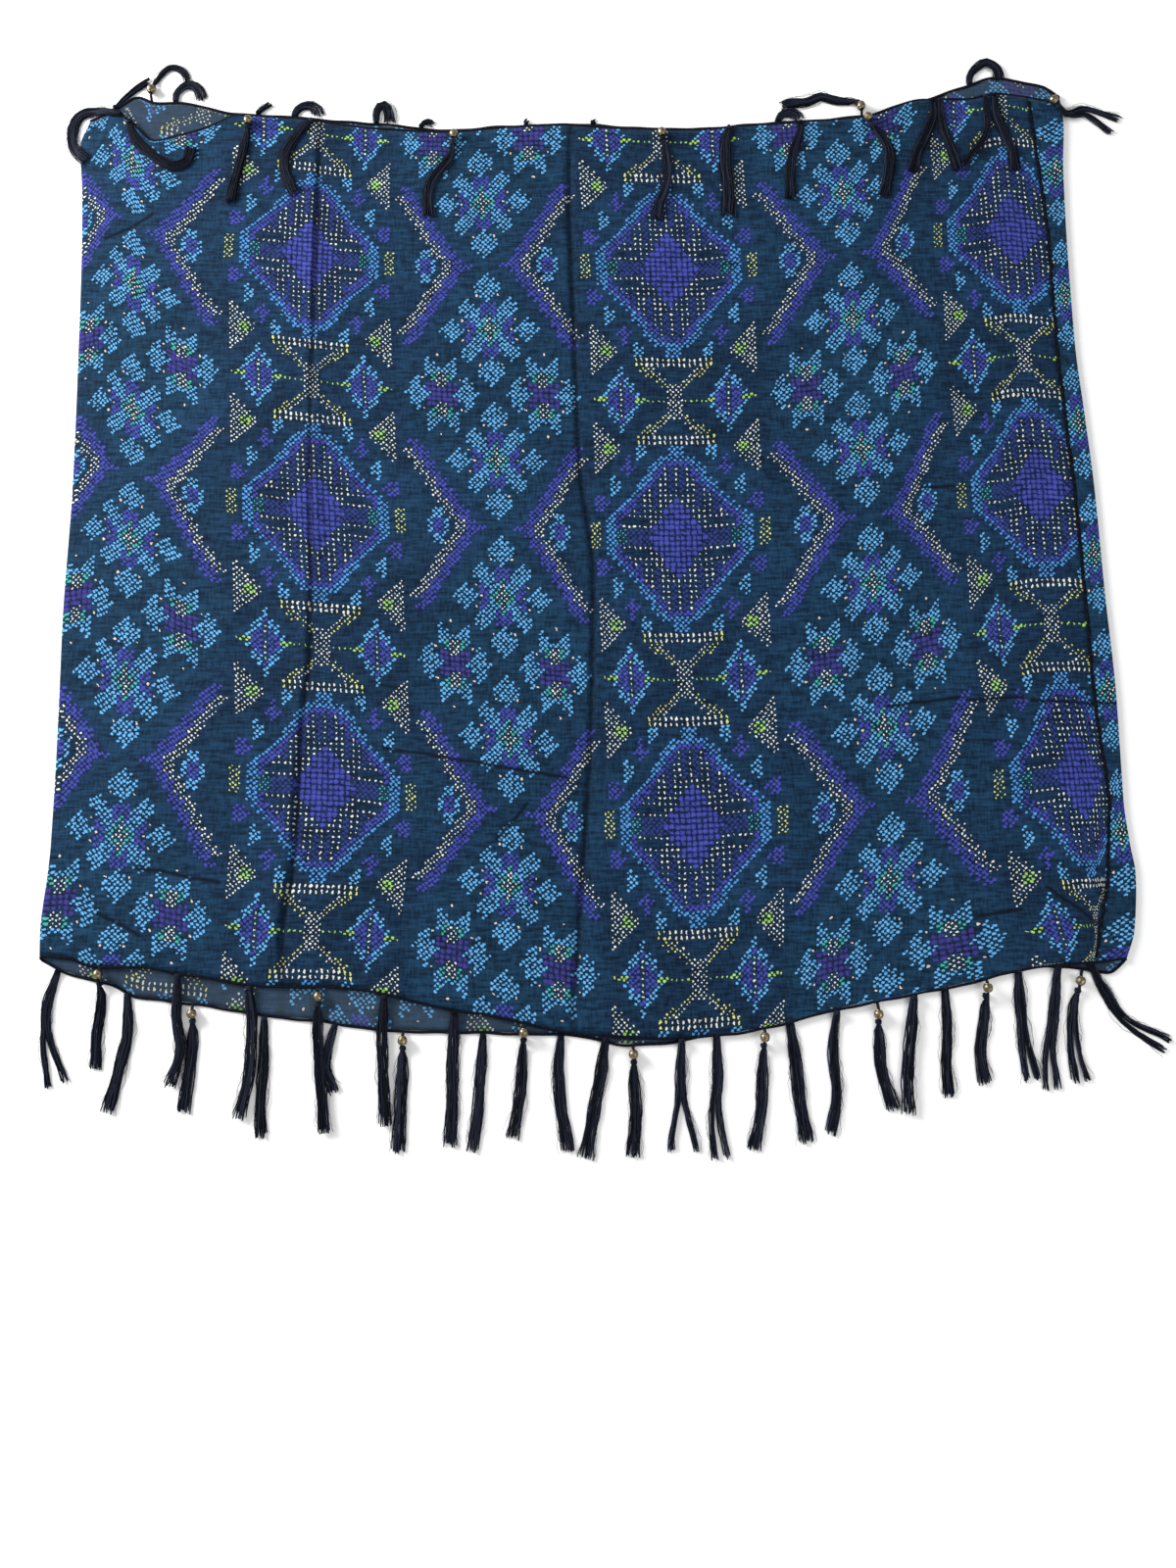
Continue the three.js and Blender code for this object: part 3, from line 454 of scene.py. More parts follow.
def level_hems(up):
    """0 at the hems and 1 between them."""
    return ease(up, 0, LEVEL_HEMS) * (1 - ease(up, 1 - LEVEL_HEMS, 1))


def front_relief(x, y, up):
    """How far the front layer stands above its flat place."""
    turn = 2 * math.pi
    height = sum(
        rise * np.sin(turn * x / length + phase) * np.cos(turn * y / width + phase)
        for rise, length, width, phase in SWELLS
    )
    height = height + sum(rise * beside_line(x, y, line, half) for rise, half, line in LONG_LINES)
    height = height + sum(short_crease(x, y, crease) for crease in SHORT_CREASES)
    left = ease(x, left_flat(up), left_flat(up) + LEVEL_LEFT)
    right = 1 - ease(x, right_flat(up) - LEVEL_RIGHT, right_flat(up))
    return height * left * right * level_hems(up) + seam_puckers(x, y, up)


def painted_crease_shade(x, y):
    """How light the print is left by the painted shade along the deep long troughs: darker on them."""
    deep = sum(beside_line(x, y, line, CREASE_SHADE_HALF_WIDTH) for rise, _, line in LONG_LINES if rise < -1)
    return 1 - CREASE_SHADE_SHARE * np.clip(deep, 0, 1)


def seam_puckers(x, y, up):
    """The small gathers on both sides of the ring seam, uneven along it."""
    away = np.abs(x - SIDE["seam"](up))
    wave = np.sin(2 * math.pi * y / PUCKER_PERIOD + 1.7 * np.sin(y / 61) + 0.9 * np.sin(y / 23))
    strength = 0.55 + 0.45 * np.sin(y / 83 + 0.8)
    hems = ease(up, 0.01, 0.04) * (1 - ease(up, 0.96, 0.99))
    return PUCKER_HEIGHT * strength * (0.25 + wave) * hems * np.exp(-((away / PUCKER_REACH) ** 2))


def back_relief(x, y, up):
    """The back layer's creases, all upwards of the floor."""
    height = sum(short_crease(x, y, crease) for crease in BACK_CREASES)
    return np.maximum(height, 0) * level_hems(up)


# ---- Places round the flattened loop ----


def on_front(x, up, middle):
    """Points of the front layer at x, and the way out of it."""
    y = layer_y("front", share_along(x, up), up)
    points = np.stack([x, y, middle + front_relief(x, y, up)], -1)
    return points, np.broadcast_to((0.0, 0.0, 1.0), points.shape)


def on_back(along, up, middle):
    """Points of the back layer at a share of its length, and the way out of it."""
    x = left_flat(up) + (right_flat(up) - left_flat(up)) * along
    y = layer_y("back", along, up)
    points = np.stack([x, y, middle + back_relief(x, y, up)], -1)
    return points, np.broadcast_to((0.0, 0.0, -1.0), points.shape)


def on_fold(edge, angle, up, low, radius):
    """Points of a folded side. angle is measured from +X towards +Z."""
    turn = math.radians(angle)
    out = np.array([math.cos(turn), 0.0, math.sin(turn)])
    along = 0.0 if edge == "left" else 1.0
    x = left_flat(up) if edge == "left" else right_flat(up)
    low_y = layer_y("back", along, up)
    y = low_y + (layer_y("front", along, up) - low_y) * (1 + math.sin(turn)) / 2
    axis = np.stack([x, y, np.full_like(up, low + radius)], -1)
    return axis + out * radius, np.broadcast_to(out, axis.shape)


def column_x(cell, up):
    """Where one of the print's columns lies on the front layer."""
    cells = (LEFT_CELL, *COLUMN_PLACES, SEAM_CELL)
    places = (left_flat(up), *(line(up) for line in COLUMN_LINES), SIDE["seam"](up))
    return curve_through(cells, places)(cell)


def printed_up(cell, up):
    """How far up the cloth the print's rows lie in one of its columns."""
    slip = LEFT_SLIP(cell) * ease(up, *LEFT_SLIP_UPS)
    slip = slip + RIGHT_SLIP(cell) * (1 - ease(up, *RIGHT_SLIP_UPS))
    slipped = up + slip / CELLS_UP
    along = np.clip((cell - LEFT_CELL) / BACK_CELLS, 0, 1)
    slipped = slipped * (1 + TURNED(along))
    return np.clip(slipped, SQUEEZED * up, 1 - SQUEEZED * (1 - up))


def quarter_turn(radius):
    """Cells of the print in a quarter of a folded side."""
    return math.pi / 2 * radius / CELL_WIDTH


def front_columns(up, low, radius):
    """The front stretch from the left fold to the ring seam, as (cell, points, outward)."""
    quarter = quarter_turn(radius)
    columns = []
    for angle in (180, 150, 120):
        cell = LEFT_CELL + quarter * (180 - angle) / 90
        columns.append((cell, *on_fold("left", angle, printed_up(cell, up), low, radius)))
    cells = [LEFT_CELL + quarter, *np.arange(LEFT_CELL + 1, SEAM_CELL + 1)]
    for start, end in FINE_BANDS:
        cells += [cell + third for cell in range(start, end) for third in (1 / 3, 2 / 3)]
    for cell in sorted(cells):
        row = printed_up(cell, up)
        x = left_flat(row) if cell < LEFT_CELL + 1 else column_x(cell, row)
        columns.append((cell, *on_front(x, row, low + 2 * radius)))
    return columns


def back_columns(up, low, radius):
    """The rest of the loop: under the left fold, the back, the right fold and on to the ring seam."""
    quarter = quarter_turn(radius)
    columns = []
    flat = quarter + BACK_CELLS
    over = flat + 2 * quarter
    whole = np.arange(1, math.floor(over + PAST_CELLS) + 1)
    for angle in (180, 210, 240):
        run = quarter * (angle - 180) / 90
        row = printed_up(LEFT_CELL - run, up)
        columns.append((run, *on_fold("left", angle, row, low, radius)))
    for run in [quarter, *whole[whole < flat], flat]:
        row = printed_up(LEFT_CELL - run, up)
        columns.append((run, *on_back((run - quarter) / BACK_CELLS, row, low)))
    for angle in range(-60, 90, 30):
        run = flat + 2 * quarter * (angle + 90) / 180
        columns.append((run, *on_fold("right", angle, up, low, radius)))
    for run in [over, *whole[whole > over], over + PAST_CELLS]:
        x = right_flat(up) + (SIDE["seam"](up) - right_flat(up)) * (run - over) / PAST_CELLS
        columns.append((run, *on_front(x, up, low + 2 * radius)))
    return [(LEFT_CELL - run, points, out) for run, points, out in columns]


def hem_line(layer, edge, distance):
    """Places just outside one edge of the cloth, from one end of the stretch to the other."""
    up = np.array([1.0 if edge == "top" else 0.0])
    columns = (front_columns if layer == "front" else back_columns)(up, HEM_LOW, HEM_RADIUS)
    points = np.array([column[1][0] for column in columns])
    points[:, 1] += distance if edge == "top" else -distance
    return points


def run_along(line):
    """The distance from a line's start to each of its points."""
    return np.concatenate(([0], np.cumsum(np.linalg.norm(np.diff(line, axis=0), axis=1))))


def places_on(line, run, places):
    """Points of a line at these distances along it, where run is the distance to each of its own."""
    return np.stack([np.interp(places, run, line[:, axis]) for axis in range(line.shape[1])], -1)


# ---- Meshes ----


def add_object(name, data):
    """A new object in the scene."""
    added = bpy.data.objects.new(name, data)
    bpy.context.collection.objects.link(added)
    return added


def new_piece(name, points, faces, materials, smooth=True):
    """A mesh object from points in table millimetres."""
    mesh = bpy.data.meshes.new(name)
    placed = (np.asarray(points, float) - TABLE_MIDDLE) * MM
    mesh.from_pydata(placed.tolist(), [], [list(map(int, face)) for face in faces])
    mesh.polygons.foreach_set("use_smooth", np.full(len(mesh.polygons), smooth))
    for material in materials:
        mesh.materials.append(material)
    return add_object(name, mesh)


def hand_over(piece, slot, *nodes):
    """Rides the piece on the scarf's one body and hides the parts that it stands for."""
    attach(piece, "root")
    if nodes:
        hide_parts(*nodes)
    return piece


def lathe(profile, sides):
    """Rings of (radius, distance) turned round +Z, closed between their ends."""
    turn = 2 * math.pi * np.arange(sides) / sides
    radius, distance = np.array(profile).T
    across, beside = np.outer(radius, np.cos(turn)), np.outer(radius, np.sin(turn))
    ahead = np.broadcast_to(distance[:, None], across.shape)
    points = np.stack([across, beside, ahead], -1)
    ring = np.arange(len(profile))[:, None] * sides
    here = ring + np.arange(sides)
    after = ring + (np.arange(sides) + 1) % sides
    up, up_after = np.roll(here, -1, 0), np.roll(after, -1, 0)
    faces = np.stack([here, after, up_after, up], -1)
    return points.reshape(-1, 3), faces.reshape(-1, 4)


def tube(points, outward, half_width, half_height, sides):
    """A closed flattened tube along points. outward is the way out of the cloth at each."""
    ahead = np.gradient(points, axis=0)
    ahead /= np.linalg.norm(ahead, axis=1, keepdims=True)
    across = np.cross(outward, ahead)
    across /= np.linalg.norm(across, axis=1, keepdims=True)
    above = np.cross(ahead, across)
    turn = 2 * math.pi * (np.arange(sides) + 0.5) / sides
    rings = (
        points[:, None]
        + across[:, None] * (np.cos(turn) * half_width)[None, :, None]
        + above[:, None] * (np.sin(turn) * half_height)[None, :, None]
    )
    ring = np.arange(len(points) - 1)[:, None] * sides
    here = ring + np.arange(sides)
    after = ring + (np.arange(sides) + 1) % sides
    faces = np.stack([here, after, after + sides, here + sides], -1).reshape(-1, 4).tolist()
    end = (len(points) - 1) * sides
    faces.append(list(reversed(range(sides))))
    faces.append([end + side for side in range(sides)])
    return rings.reshape(-1, 3), faces


# ---- Node trees ----


def set_inputs(tree, node, inputs):
    """Links the sockets among the inputs to the node, and sets the others on it as constants."""
    for name, value in inputs.items():
        if isinstance(value, bpy.types.NodeSocket):
            tree.links.new(value, node.inputs[name])
        else:
            node.inputs[name].default_value = value


def add_node(tree, kind, inputs=None, **settings):
    """A new node with its settings and inputs."""
    node = tree.nodes.new(kind)
    for name, value in settings.items():
        setattr(node, name, value)
    set_inputs(tree, node, inputs or {})
    return node


def maths(tree, operation, *values):
    """The result of one sum on numbers."""
    return add_node(tree, "ShaderNodeMath", dict(enumerate(values)), operation=operation).outputs[0]


def vector_maths(tree, operation, *values, out="Vector", **named):
    """The result of one sum on vectors."""
    inputs = {**dict(enumerate(values)), **named}
    return add_node(tree, "ShaderNodeVectorMath", inputs, operation=operation).outputs[out]


def mapped(tree, value, from_low, from_high, low, high, soft=False):
    """value moved from one range to another, and held inside it."""
    inputs = {"Value": value, 1: from_low, 2: from_high, 3: low, 4: high}
    way = "SMOOTHSTEP" if soft else "LINEAR"
    return add_node(tree, "ShaderNodeMapRange", inputs, interpolation_type=way).outputs[0]


def mixed(tree, factor, first, second, blend="MIX"):
    """Two colours mixed or multiplied."""
    inputs = {0: factor, 6: first, 7: second}
    return add_node(tree, "ShaderNodeMix", inputs, data_type="RGBA", blend_type=blend).outputs[2]


def noise(tree, place, scale, stretch=(1, 1, 1), detail=2.0):
    """Noise on the piece's own coordinates, stretched along its axes."""
    moved = add_node(tree, "ShaderNodeMapping", {"Vector": place, "Scale": stretch}).outputs[0]
    return add_node(tree, "ShaderNodeTexNoise", {"Vector": moved, "Scale": scale, "Detail": detail})


def attribute(tree, name, out="Color"):
    """What the mesh says under this name."""
    return add_node(tree, "ShaderNodeAttribute", attribute_name=name).outputs[out]


def bumped(tree, height, strength, distance):
    """The surface's direction over small heights."""
    inputs = {"Height": height, "Strength": strength, "Distance": distance}
    return add_node(tree, "ShaderNodeBump", inputs).outputs[0]


def new_material(name):
    """A material, the tree that it is wired in, and its shader."""
    material = bpy.data.materials.new(name)
    material.use_nodes = True
    return material, material.node_tree, material.node_tree.nodes["Principled BSDF"]


def object_place(tree):
    """The place on the piece, in its own coordinates."""
    return add_node(tree, "ShaderNodeTexCoord").outputs["Object"]


def plain_mesh(guide, tree, inputs):
    """Runs a Geometry Nodes tree on the guide and keeps its result as the guide's own mesh."""
    modifier = guide.modifiers.new("Make", "NODES")
    modifier.node_group = tree
    items = tree.interface.items_tree
    sockets = {item.name: item.identifier for item in items if item.in_out == "INPUT"}
    for name, value in inputs.items():
        modifier[sockets[name]] = value
    bpy.context.view_layer.update()
    depsgraph = bpy.context.evaluated_depsgraph_get()
    made = bpy.data.meshes.new_from_object(guide.evaluated_get(depsgraph), depsgraph=depsgraph)
    guide.modifiers.remove(modifier)
    guide.data = made
    return guide


def new_geometry_tree(name, sockets):
    """An empty Geometry Nodes tree with named inputs, as (name, socket kind, default)."""
    tree = bpy.data.node_groups.new(name, "GeometryNodeTree")
    tree.interface.new_socket("Geometry", in_out="INPUT", socket_type="NodeSocketGeometry")
    for label, kind, default in sockets:
        socket = tree.interface.new_socket(label, in_out="INPUT", socket_type=kind)
        if default is not None:
            socket.default_value = default
    tree.interface.new_socket("Geometry", in_out="OUTPUT", socket_type="NodeSocketGeometry")
    return tree, add_node(tree, "NodeGroupInput").outputs


def finish_geometry_tree(tree, geometry, material):
    """Makes the geometry real, smooth and painted, and sends it out of the tree."""
    whole = add_node(tree, "GeometryNodeRealizeInstances", {"Geometry": geometry}).outputs[0]
    smooth = add_node(tree, "GeometryNodeSetShadeSmooth", {"Geometry": whole}).outputs[0]
    inputs = {"Geometry": smooth, "Material": material}
    painted = add_node(tree, "GeometryNodeSetMaterial", inputs).outputs[0]
    add_node(tree, "NodeGroupOutput", {0: painted})
    return tree


def yarn_tree():
    """Sweeps a round yarn along every guide line, as thick as the line's own attribute says."""
    tree, given = new_geometry_tree(
        "Yarns",
        [
            ("Yarn radius", "NodeSocketFloat", 0.0006),
            ("Sides", "NodeSocketInt", 5),
            ("Material", "NodeSocketMaterial", None),
        ],
    )
    lines = add_node(tree, "GeometryNodeMeshToCurve", {"Mesh": given["Geometry"]}).outputs[0]
    ring = add_node(
        tree,
        "GeometryNodeCurvePrimitiveCircle",
        {"Resolution": given["Sides"], "Radius": given["Yarn radius"]},
    ).outputs[0]
    thick = add_node(tree, "GeometryNodeInputNamedAttribute", {"Name": "thickness"}).outputs[0]
    swept = add_node(
        tree,
        "GeometryNodeCurveToMesh",
        {"Curve": lines, "Profile Curve": ring, "Scale": thick, "Fill Caps": True},
    ).outputs[0]
    return finish_geometry_tree(tree, swept, given["Material"])


def wrap_tree():
    """Winds slanting loops of thread round a hem's guide line."""
    tree, given = new_geometry_tree(
        "Hem wraps",
        [
            ("Pitch", "NodeSocketFloat", 0.0022),
            ("Half width", "NodeSocketFloat", 0.0014),
            ("Flatness", "NodeSocketFloat", 0.6),
            ("Thread radius", "NodeSocketFloat", 0.00028),
            ("Slant", "NodeSocketFloat", 0.45),
            ("Seed", "NodeSocketInt", 3),
            ("Material", "NodeSocketMaterial", None),
        ],
    )
    line = add_node(tree, "GeometryNodeMeshToCurve", {"Mesh": given["Geometry"]}).outputs[0]
    points = add_node(
        tree, "GeometryNodeCurveToPoints", {"Curve": line, "Length": given["Pitch"]}, mode="LENGTH"
    ).outputs
    loop = add_node(
        tree, "GeometryNodeCurvePrimitiveCircle", {"Resolution": 8, "Radius": given["Half width"]}
    ).outputs[0]
    flat = add_node(tree, "ShaderNodeCombineXYZ", {0: 1.0, 1: given["Flatness"], 2: 1.0}).outputs[0]
    oval = add_node(tree, "GeometryNodeTransform", {"Geometry": loop, "Scale": flat}).outputs[0]
    thread = add_node(
        tree, "GeometryNodeCurvePrimitiveCircle", {"Resolution": 3, "Radius": given["Thread radius"]}
    ).outputs[0]
    wrap = add_node(tree, "GeometryNodeCurveToMesh", {"Curve": oval, "Profile Curve": thread}).outputs[0]
    level = add_node(
        tree,
        "FunctionNodeAxesToRotation",
        {"Primary Axis": points["Tangent"], "Secondary Axis": (0.0, 0.0, 1.0)},
        primary_axis="Z",
        secondary_axis="Y",
    ).outputs[0]
    uneven = add_node(
        tree, "FunctionNodeRandomValue", {2: -0.2, 3: 0.2, "Seed": given["Seed"]}, data_type="FLOAT"
    ).outputs[1]
    slant = add_node(tree, "ShaderNodeMath", {0: given["Slant"], 1: uneven}, operation="ADD").outputs[0]
    lean = add_node(tree, "ShaderNodeCombineXYZ", {1: slant}).outputs[0]
    leaning = add_node(tree, "FunctionNodeEulerToRotation", {0: lean}).outputs[0]
    turned = add_node(
        tree,
        "FunctionNodeRotateRotation",
        {"Rotation": level, "Rotate By": leaning},
        rotation_space="LOCAL",
    ).outputs[0]
    wraps = add_node(
        tree,
        "GeometryNodeInstanceOnPoints",
        {"Points": points["Points"], "Instance": wrap, "Rotation": turned},
    ).outputs[0]
    return finish_geometry_tree(tree, wraps, given["Material"])


def guide_lines(name, lines):
    """A mesh of open lines with a thickness and a tone at each point, for a tree to sweep."""
    points = np.concatenate([row[0] for row in lines])
    edges = []
    start = 0
    for row in lines:
        end = start + len(row[0])
        edges += [(i, i + 1) for i in range(start, end - 1)]
        start = end
    mesh = bpy.data.meshes.new(name)
    mesh.from_pydata(((points - TABLE_MIDDLE) * MM).tolist(), edges, [])
    for label, column in (("thickness", 1), ("tone", 2)):
        values = np.concatenate([np.broadcast_to(row[column], len(row[0])) for row in lines])
        layer = mesh.attributes.new(label, "FLOAT", "POINT")
        layer.data.foreach_set("value", values.astype(np.float32))
    return add_object(name, mesh)


# ---- Print chart ----


class Chart:
    """The repeat of the counted-thread print, with mirrored halves.

    x and y count cells from the nearest medallion's middle, and the numbers in the motifs are cells.
    """

    def __init__(self, column, row):
        self.x = np.abs((column + REPEAT_ACROSS / 2) % REPEAT_ACROSS - REPEAT_ACROSS / 2)
        self.y = np.abs((row + REPEAT_UP / 2) % REPEAT_UP - REPEAT_UP / 2)
        self.ink = np.full(self.x.shape, "none", dtype="<U8")
        self.mark = np.full(self.x.shape, "none", dtype="<U8")
        self.shade = np.zeros(self.x.shape)
        self.medallion()
        self.hourglass()
        self.triangles()
        self.chevron()
        self.flower()
        self.half_flower()

    def paint(self, where, ink, mark):
        """Prints marks of one kind and ink in some of the cells."""
        self.ink[where] = ink
        self.mark[where] = mark

    def diamond(self, across, up, width, height):
        """Below 1 inside a diamond with these half sizes."""
        return np.abs(self.x - across) / width + np.abs(self.y - up) / height

    def medallion(self):
        """A stepped medallion: rim, band and dotted lines round a heart."""
        x, y = self.x, self.y
        outline = ((3.5, 13.3), (9.6, 7.4), (15.4, 3.4), (15.6, 1.6), (17.4, 1.6), (17.6, 0))
        edge = np.interp(y, *zip(*outline))
        inside = x < edge
        rim = inside & ((x > edge - np.where(y < 4, 2.3, 1.7)) | (y > 14.5))
        band = inside & ~rim & ((x > edge - 2.9) | (y > 13))
        key = inside & ~rim & ~band
        level = y < 4.5
        lines = key & np.where(level, (y == 2) | (y == 4), np.isin(x, (0, 2, 3, 5, 6, 8)))
        filled = key & ~lines & np.where(level, y < 2, True)
        heart = (x / 5.1) ** 1.2 + (y / 7.3) ** 1.2
        self.paint(band, "purple", "lattice")
        self.paint(rim, "azure", "ovals")
        self.paint(filled, "violet", "lattice")
        self.shade[key & ~filled] = 0.8
        self.paint(lines, "cream", "dot")
        round_heart = (heart < 1.4) & (heart >= 1)
        self.paint(round_heart & (y > 1.5), "cream", "dot")
        self.shade[round_heart] = 0.9
        self.shade[heart < 1] = 0
        self.paint(heart < 1, "purple", "block")
        self.paint((x > 9.5) & (x < 11.5) & (y < 1.5), "teal", "grains")

    def hourglass(self):
        """The hourglass between two medallions, with a square on each side."""
        x = self.x
        y = REPEAT_UP / 2 - self.y
        edge = np.where(y < 2.7, 1.6, np.minimum(2.6 + 1.07 * (y - 2.7), 7.6))
        glass = (y < 8.5) & (x < edge)
        hole = (y > 3.3) & (y < 6.4) & (x < edge - 2.6)
        base = glass & (y > 6.4)
        self.shade[(y < 10.5) & (x < edge + 3)] = 0.6
        self.shade[hole] = 0
        self.paint(glass & ~hole, "cream", "grains")
        self.paint(glass & (y > 2.7) & (x > edge - 1.4), "yellow", "grains")
        self.paint(base, "cream", "dash")
        self.paint(base & (x > edge - 1.5), "yellow", "dash")
        self.paint((y < 0.5) & (x > 1.6) & (x < 6.5), "lime", "dot")
        square = self.diamond(10, REPEAT_UP / 2, 4.2, 6.4)
        self.shade[(square < 1.5) & (square > 1.0)] = 0.6
        self.paint(square < 1.0, "blue", "ovals")
        self.paint(square < 0.68, "purple", "lattice")
        self.paint((square < 0.60) & (x == 10), "cream", "dot")
        self.paint((square < 1.0) & (np.abs(x - 10) > 2.5) & (y < 1), "lime", "ovals")
        self.paint((y < 0.5) & (x > 14) & (x < 16), "yellow", "dot")

    def triangles(self):
        """The triangles beside the hourglass and the small marks round the medallion."""
        x = self.x
        y = REPEAT_UP / 2 - self.y
        off = np.abs(y - 9.5)
        inside = (x > 10.4) & (x < 15.4) & (off < (x - 10.1) * 1.12)
        self.shade[(x > 10) & (x < 16.5) & (off < (x - 9.2) * 1.15)] = 0.5
        self.paint(inside, "cream", "grains")
        self.paint(np.abs(x - 12.8) + off < 1.6, "lime", "ovals")
        for across, up, width, height, ink in (
            (6.6, 16.3, 1.3, 2.0, "blue"),
            (9.0, 13.3, 1.4, 2.0, "purple"),
            (11.8, 9.6, 1.3, 2.0, "blue"),
            (14.3, 6.0, 1.4, 2.0, "purple"),
        ):
            mark = "ovals" if ink == "blue" else "lattice"
            self.paint(self.diamond(across, up, width, height) < 1, ink, mark)
        self.paint((np.abs(x - 15.3) < 0.9) & (self.y < 2.2), "yellow", "grains")

    def chevron(self):
        """The chevron that points away from the medallion, and the square in its bend."""
        x, y = self.x, self.y
        slant = (x - 27.4) + 0.64 * y
        self.shade[(slant > -3) & (slant < 1) & (y < 16)] = 0.5
        self.paint((slant > 0.4) & (slant <= 2.6) & (y < 16.4), "purple", "lattice")
        self.paint((x > 29.5) & (x < 31.5) & (y < 0.9), "purple", "lattice")
        self.paint((slant > -1.6) & (slant <= 0.4) & (y < 14.8), "cream", "grains")
        square = self.diamond(22.5, 0, 2.4, 4.6)
        self.paint(square < 1, "blue", "ovals")
        self.paint(square < 0.46, "purple", "lattice")

    def flower(self):
        """A flower with four arms and four petals, between the chevrons."""
        across = np.abs(self.x - REPEAT_ACROSS / 2)
        up = np.abs(self.y - REPEAT_UP / 4)
        wide, tall = across / 4.9, up / 5.6
        self.paint(across / 2.1 + np.abs(up - 4.4) / 2.7 < 1, "purple", "lattice")
        self.paint(np.abs(across - 3.7) / 2.2 + up / 2.4 < 1, "purple", "lattice")
        arms = np.abs(wide - tall) < 0.24 + 0.28 * np.minimum(wide, tall)
        self.paint(arms & (wide + tall < 2.05), "blue", "ovals")
        self.paint(across / 2.4 + up / 3.4 < 1, "teal", "ovals")
        self.paint(across / 1.5 + up / 2.6 < 1, "cream", "grains")
        self.paint((across == 4) & (up == 0), "pink", "spot")
        for place, height, half, tall_half in ((6.9, 0, 2.1, 2.9), (0, 8.3, 2.8, 2.7)):
            near = np.abs(across - place) / half + np.abs(up - height) / tall_half < 1
            self.paint(near, "blue", "ovals")
        self.paint(((across == 5) & (up == 2)) | ((across == 2) & (up == 7)), "pink", "spot")

    def half_flower(self):
        """The smaller flower between the hourglass's squares and the large flowers."""
        across = np.abs(self.x - 24.5)
        up = REPEAT_UP / 2 - self.y
        self.paint((across < 2.8) & (up < 2.4), "plum", "block")
        self.paint(np.abs(across - 4.7) / 2.3 + up / 3.9 < 1, "blue", "ovals")
        lobes = np.abs(across - 0.4 * up + 0.1) / 1.5 + np.abs(up - 5.0) / 3.4
        self.paint(lobes < 1, "blue", "ovals")
        self.paint((across < 2) & (up > 2.5) & (up < 4.5), "teal", "ovals")
        self.paint((across < 1) & (up > 1.5) & (up < 4.5), "cream", "grains")
        self.paint(((across == 3.5) & (up == 3)) | ((self.x == 24) & (up == 8)), "pink", "spot")


def blurred(field, reach):
    """The field averaged over a square of cells."""
    pad = [(reach, reach)] * 2 + [(0, 0)] * (field.ndim - 2)
    padded = np.pad(field, pad, mode="edge")
    rows, columns = field.shape[:2]
    span = 2 * reach + 1
    total = sum(padded[i : i + rows, j : j + columns] for i in range(span) for j in range(span))
    return total / span**2


class Print:
    """Colours of the print's cells from first_cell on, and of the ground between them."""

    def __init__(self, first_cell, last_cell, settings):
        self.first = math.floor(first_cell)
        columns = np.arange(self.first, math.ceil(last_cell))
        rows = np.arange(CELLS_UP)
        column, row = np.meshgrid(columns, rows)
        chart = Chart(column, row - FIRST_MEDALLION_ROW)
        bare = np.array(settings.ground)
        inks = {name: np.array(getattr(settings, name)) for name in INKS}
        inks["none"] = bare
        self.ink = np.zeros(chart.x.shape + (3,))
        self.size = np.zeros(chart.x.shape + (3,))
        for name, colour in inks.items():
            self.ink[chart.ink == name] = colour
        for name, size in MARKS.items():
            self.size[chart.mark == name] = size
        covered = (np.isin(chart.mark, ("lattice", "block")) * 1.0)[..., None]
        tint = blurred(self.ink * covered, 1) * DYE_TINT
        ground = bare * (1 - blurred(covered, 1) * DYE_COVER) + tint
        dark = blurred(chart.shade, 1)[..., None] * SHADOW_SHARE
        leafy = blurred(np.isin(chart.ink, ("blue", "teal")) * 1.0, 3)[..., None] * LEAF_SHARE
        ground = ground * (1 - dark) + np.array(settings.shadow) * dark
        self.ground = ground * (1 - leafy) + np.array(settings.leaf) * leafy

    def cell(self, field, across, up):
        """The field in the cells that hold these places."""
        column = np.clip(np.floor(across).astype(int) - self.first, 0, field.shape[1] - 1)
        row = np.clip(np.floor(up).astype(int), 0, CELLS_UP - 1)
        return field[row, column]

    def between(self, field, across, up):
        """The field between the middles of its cells."""
        across, up = across - 0.5, up - 0.5
        right = (across - np.floor(across))[..., None]
        above = (up - np.floor(up))[..., None]
        rows = []
        for row in (up, up + 1):
            left_cell, right_cell = self.cell(field, across, row), self.cell(field, across + 1, row)
            rows.append(left_cell * (1 - right) + right_cell * right)
        return rows[0] * (1 - above) + rows[1] * above


# ---- Cloth ----

# Scales of the fine patterns on the cloth, which is measured in metres.
WARP_SCALE = 520
WEFT_SCALE = 480
FRAY_SCALE = 480
CRINKLE_SCALE = 210
WEAR_SCALE = 9
WARP_SHARE = 0.4          # of the weave's pattern, where the weft's is the rest
THREAD_RANGE = (0.38, 0.62)  # of that pattern, from its thinnest thread to its thickest
CRINKLE_DEPTH = 1.6       # of the crinkles, where a thread's is 1
INK_COVER = 0.94
WRONG_SIDE_HAZE = 0.34
MARK_GROWTH = (0.80, 1.14)  # how much smaller or larger a mark may be
MARK_JITTER = 0.10        # how far it may be moved, in cells
MARK_FRAY = 0.15          # and how ragged its edge is
MARK_SQUARENESS = 2.4     # 2 would be an ellipse


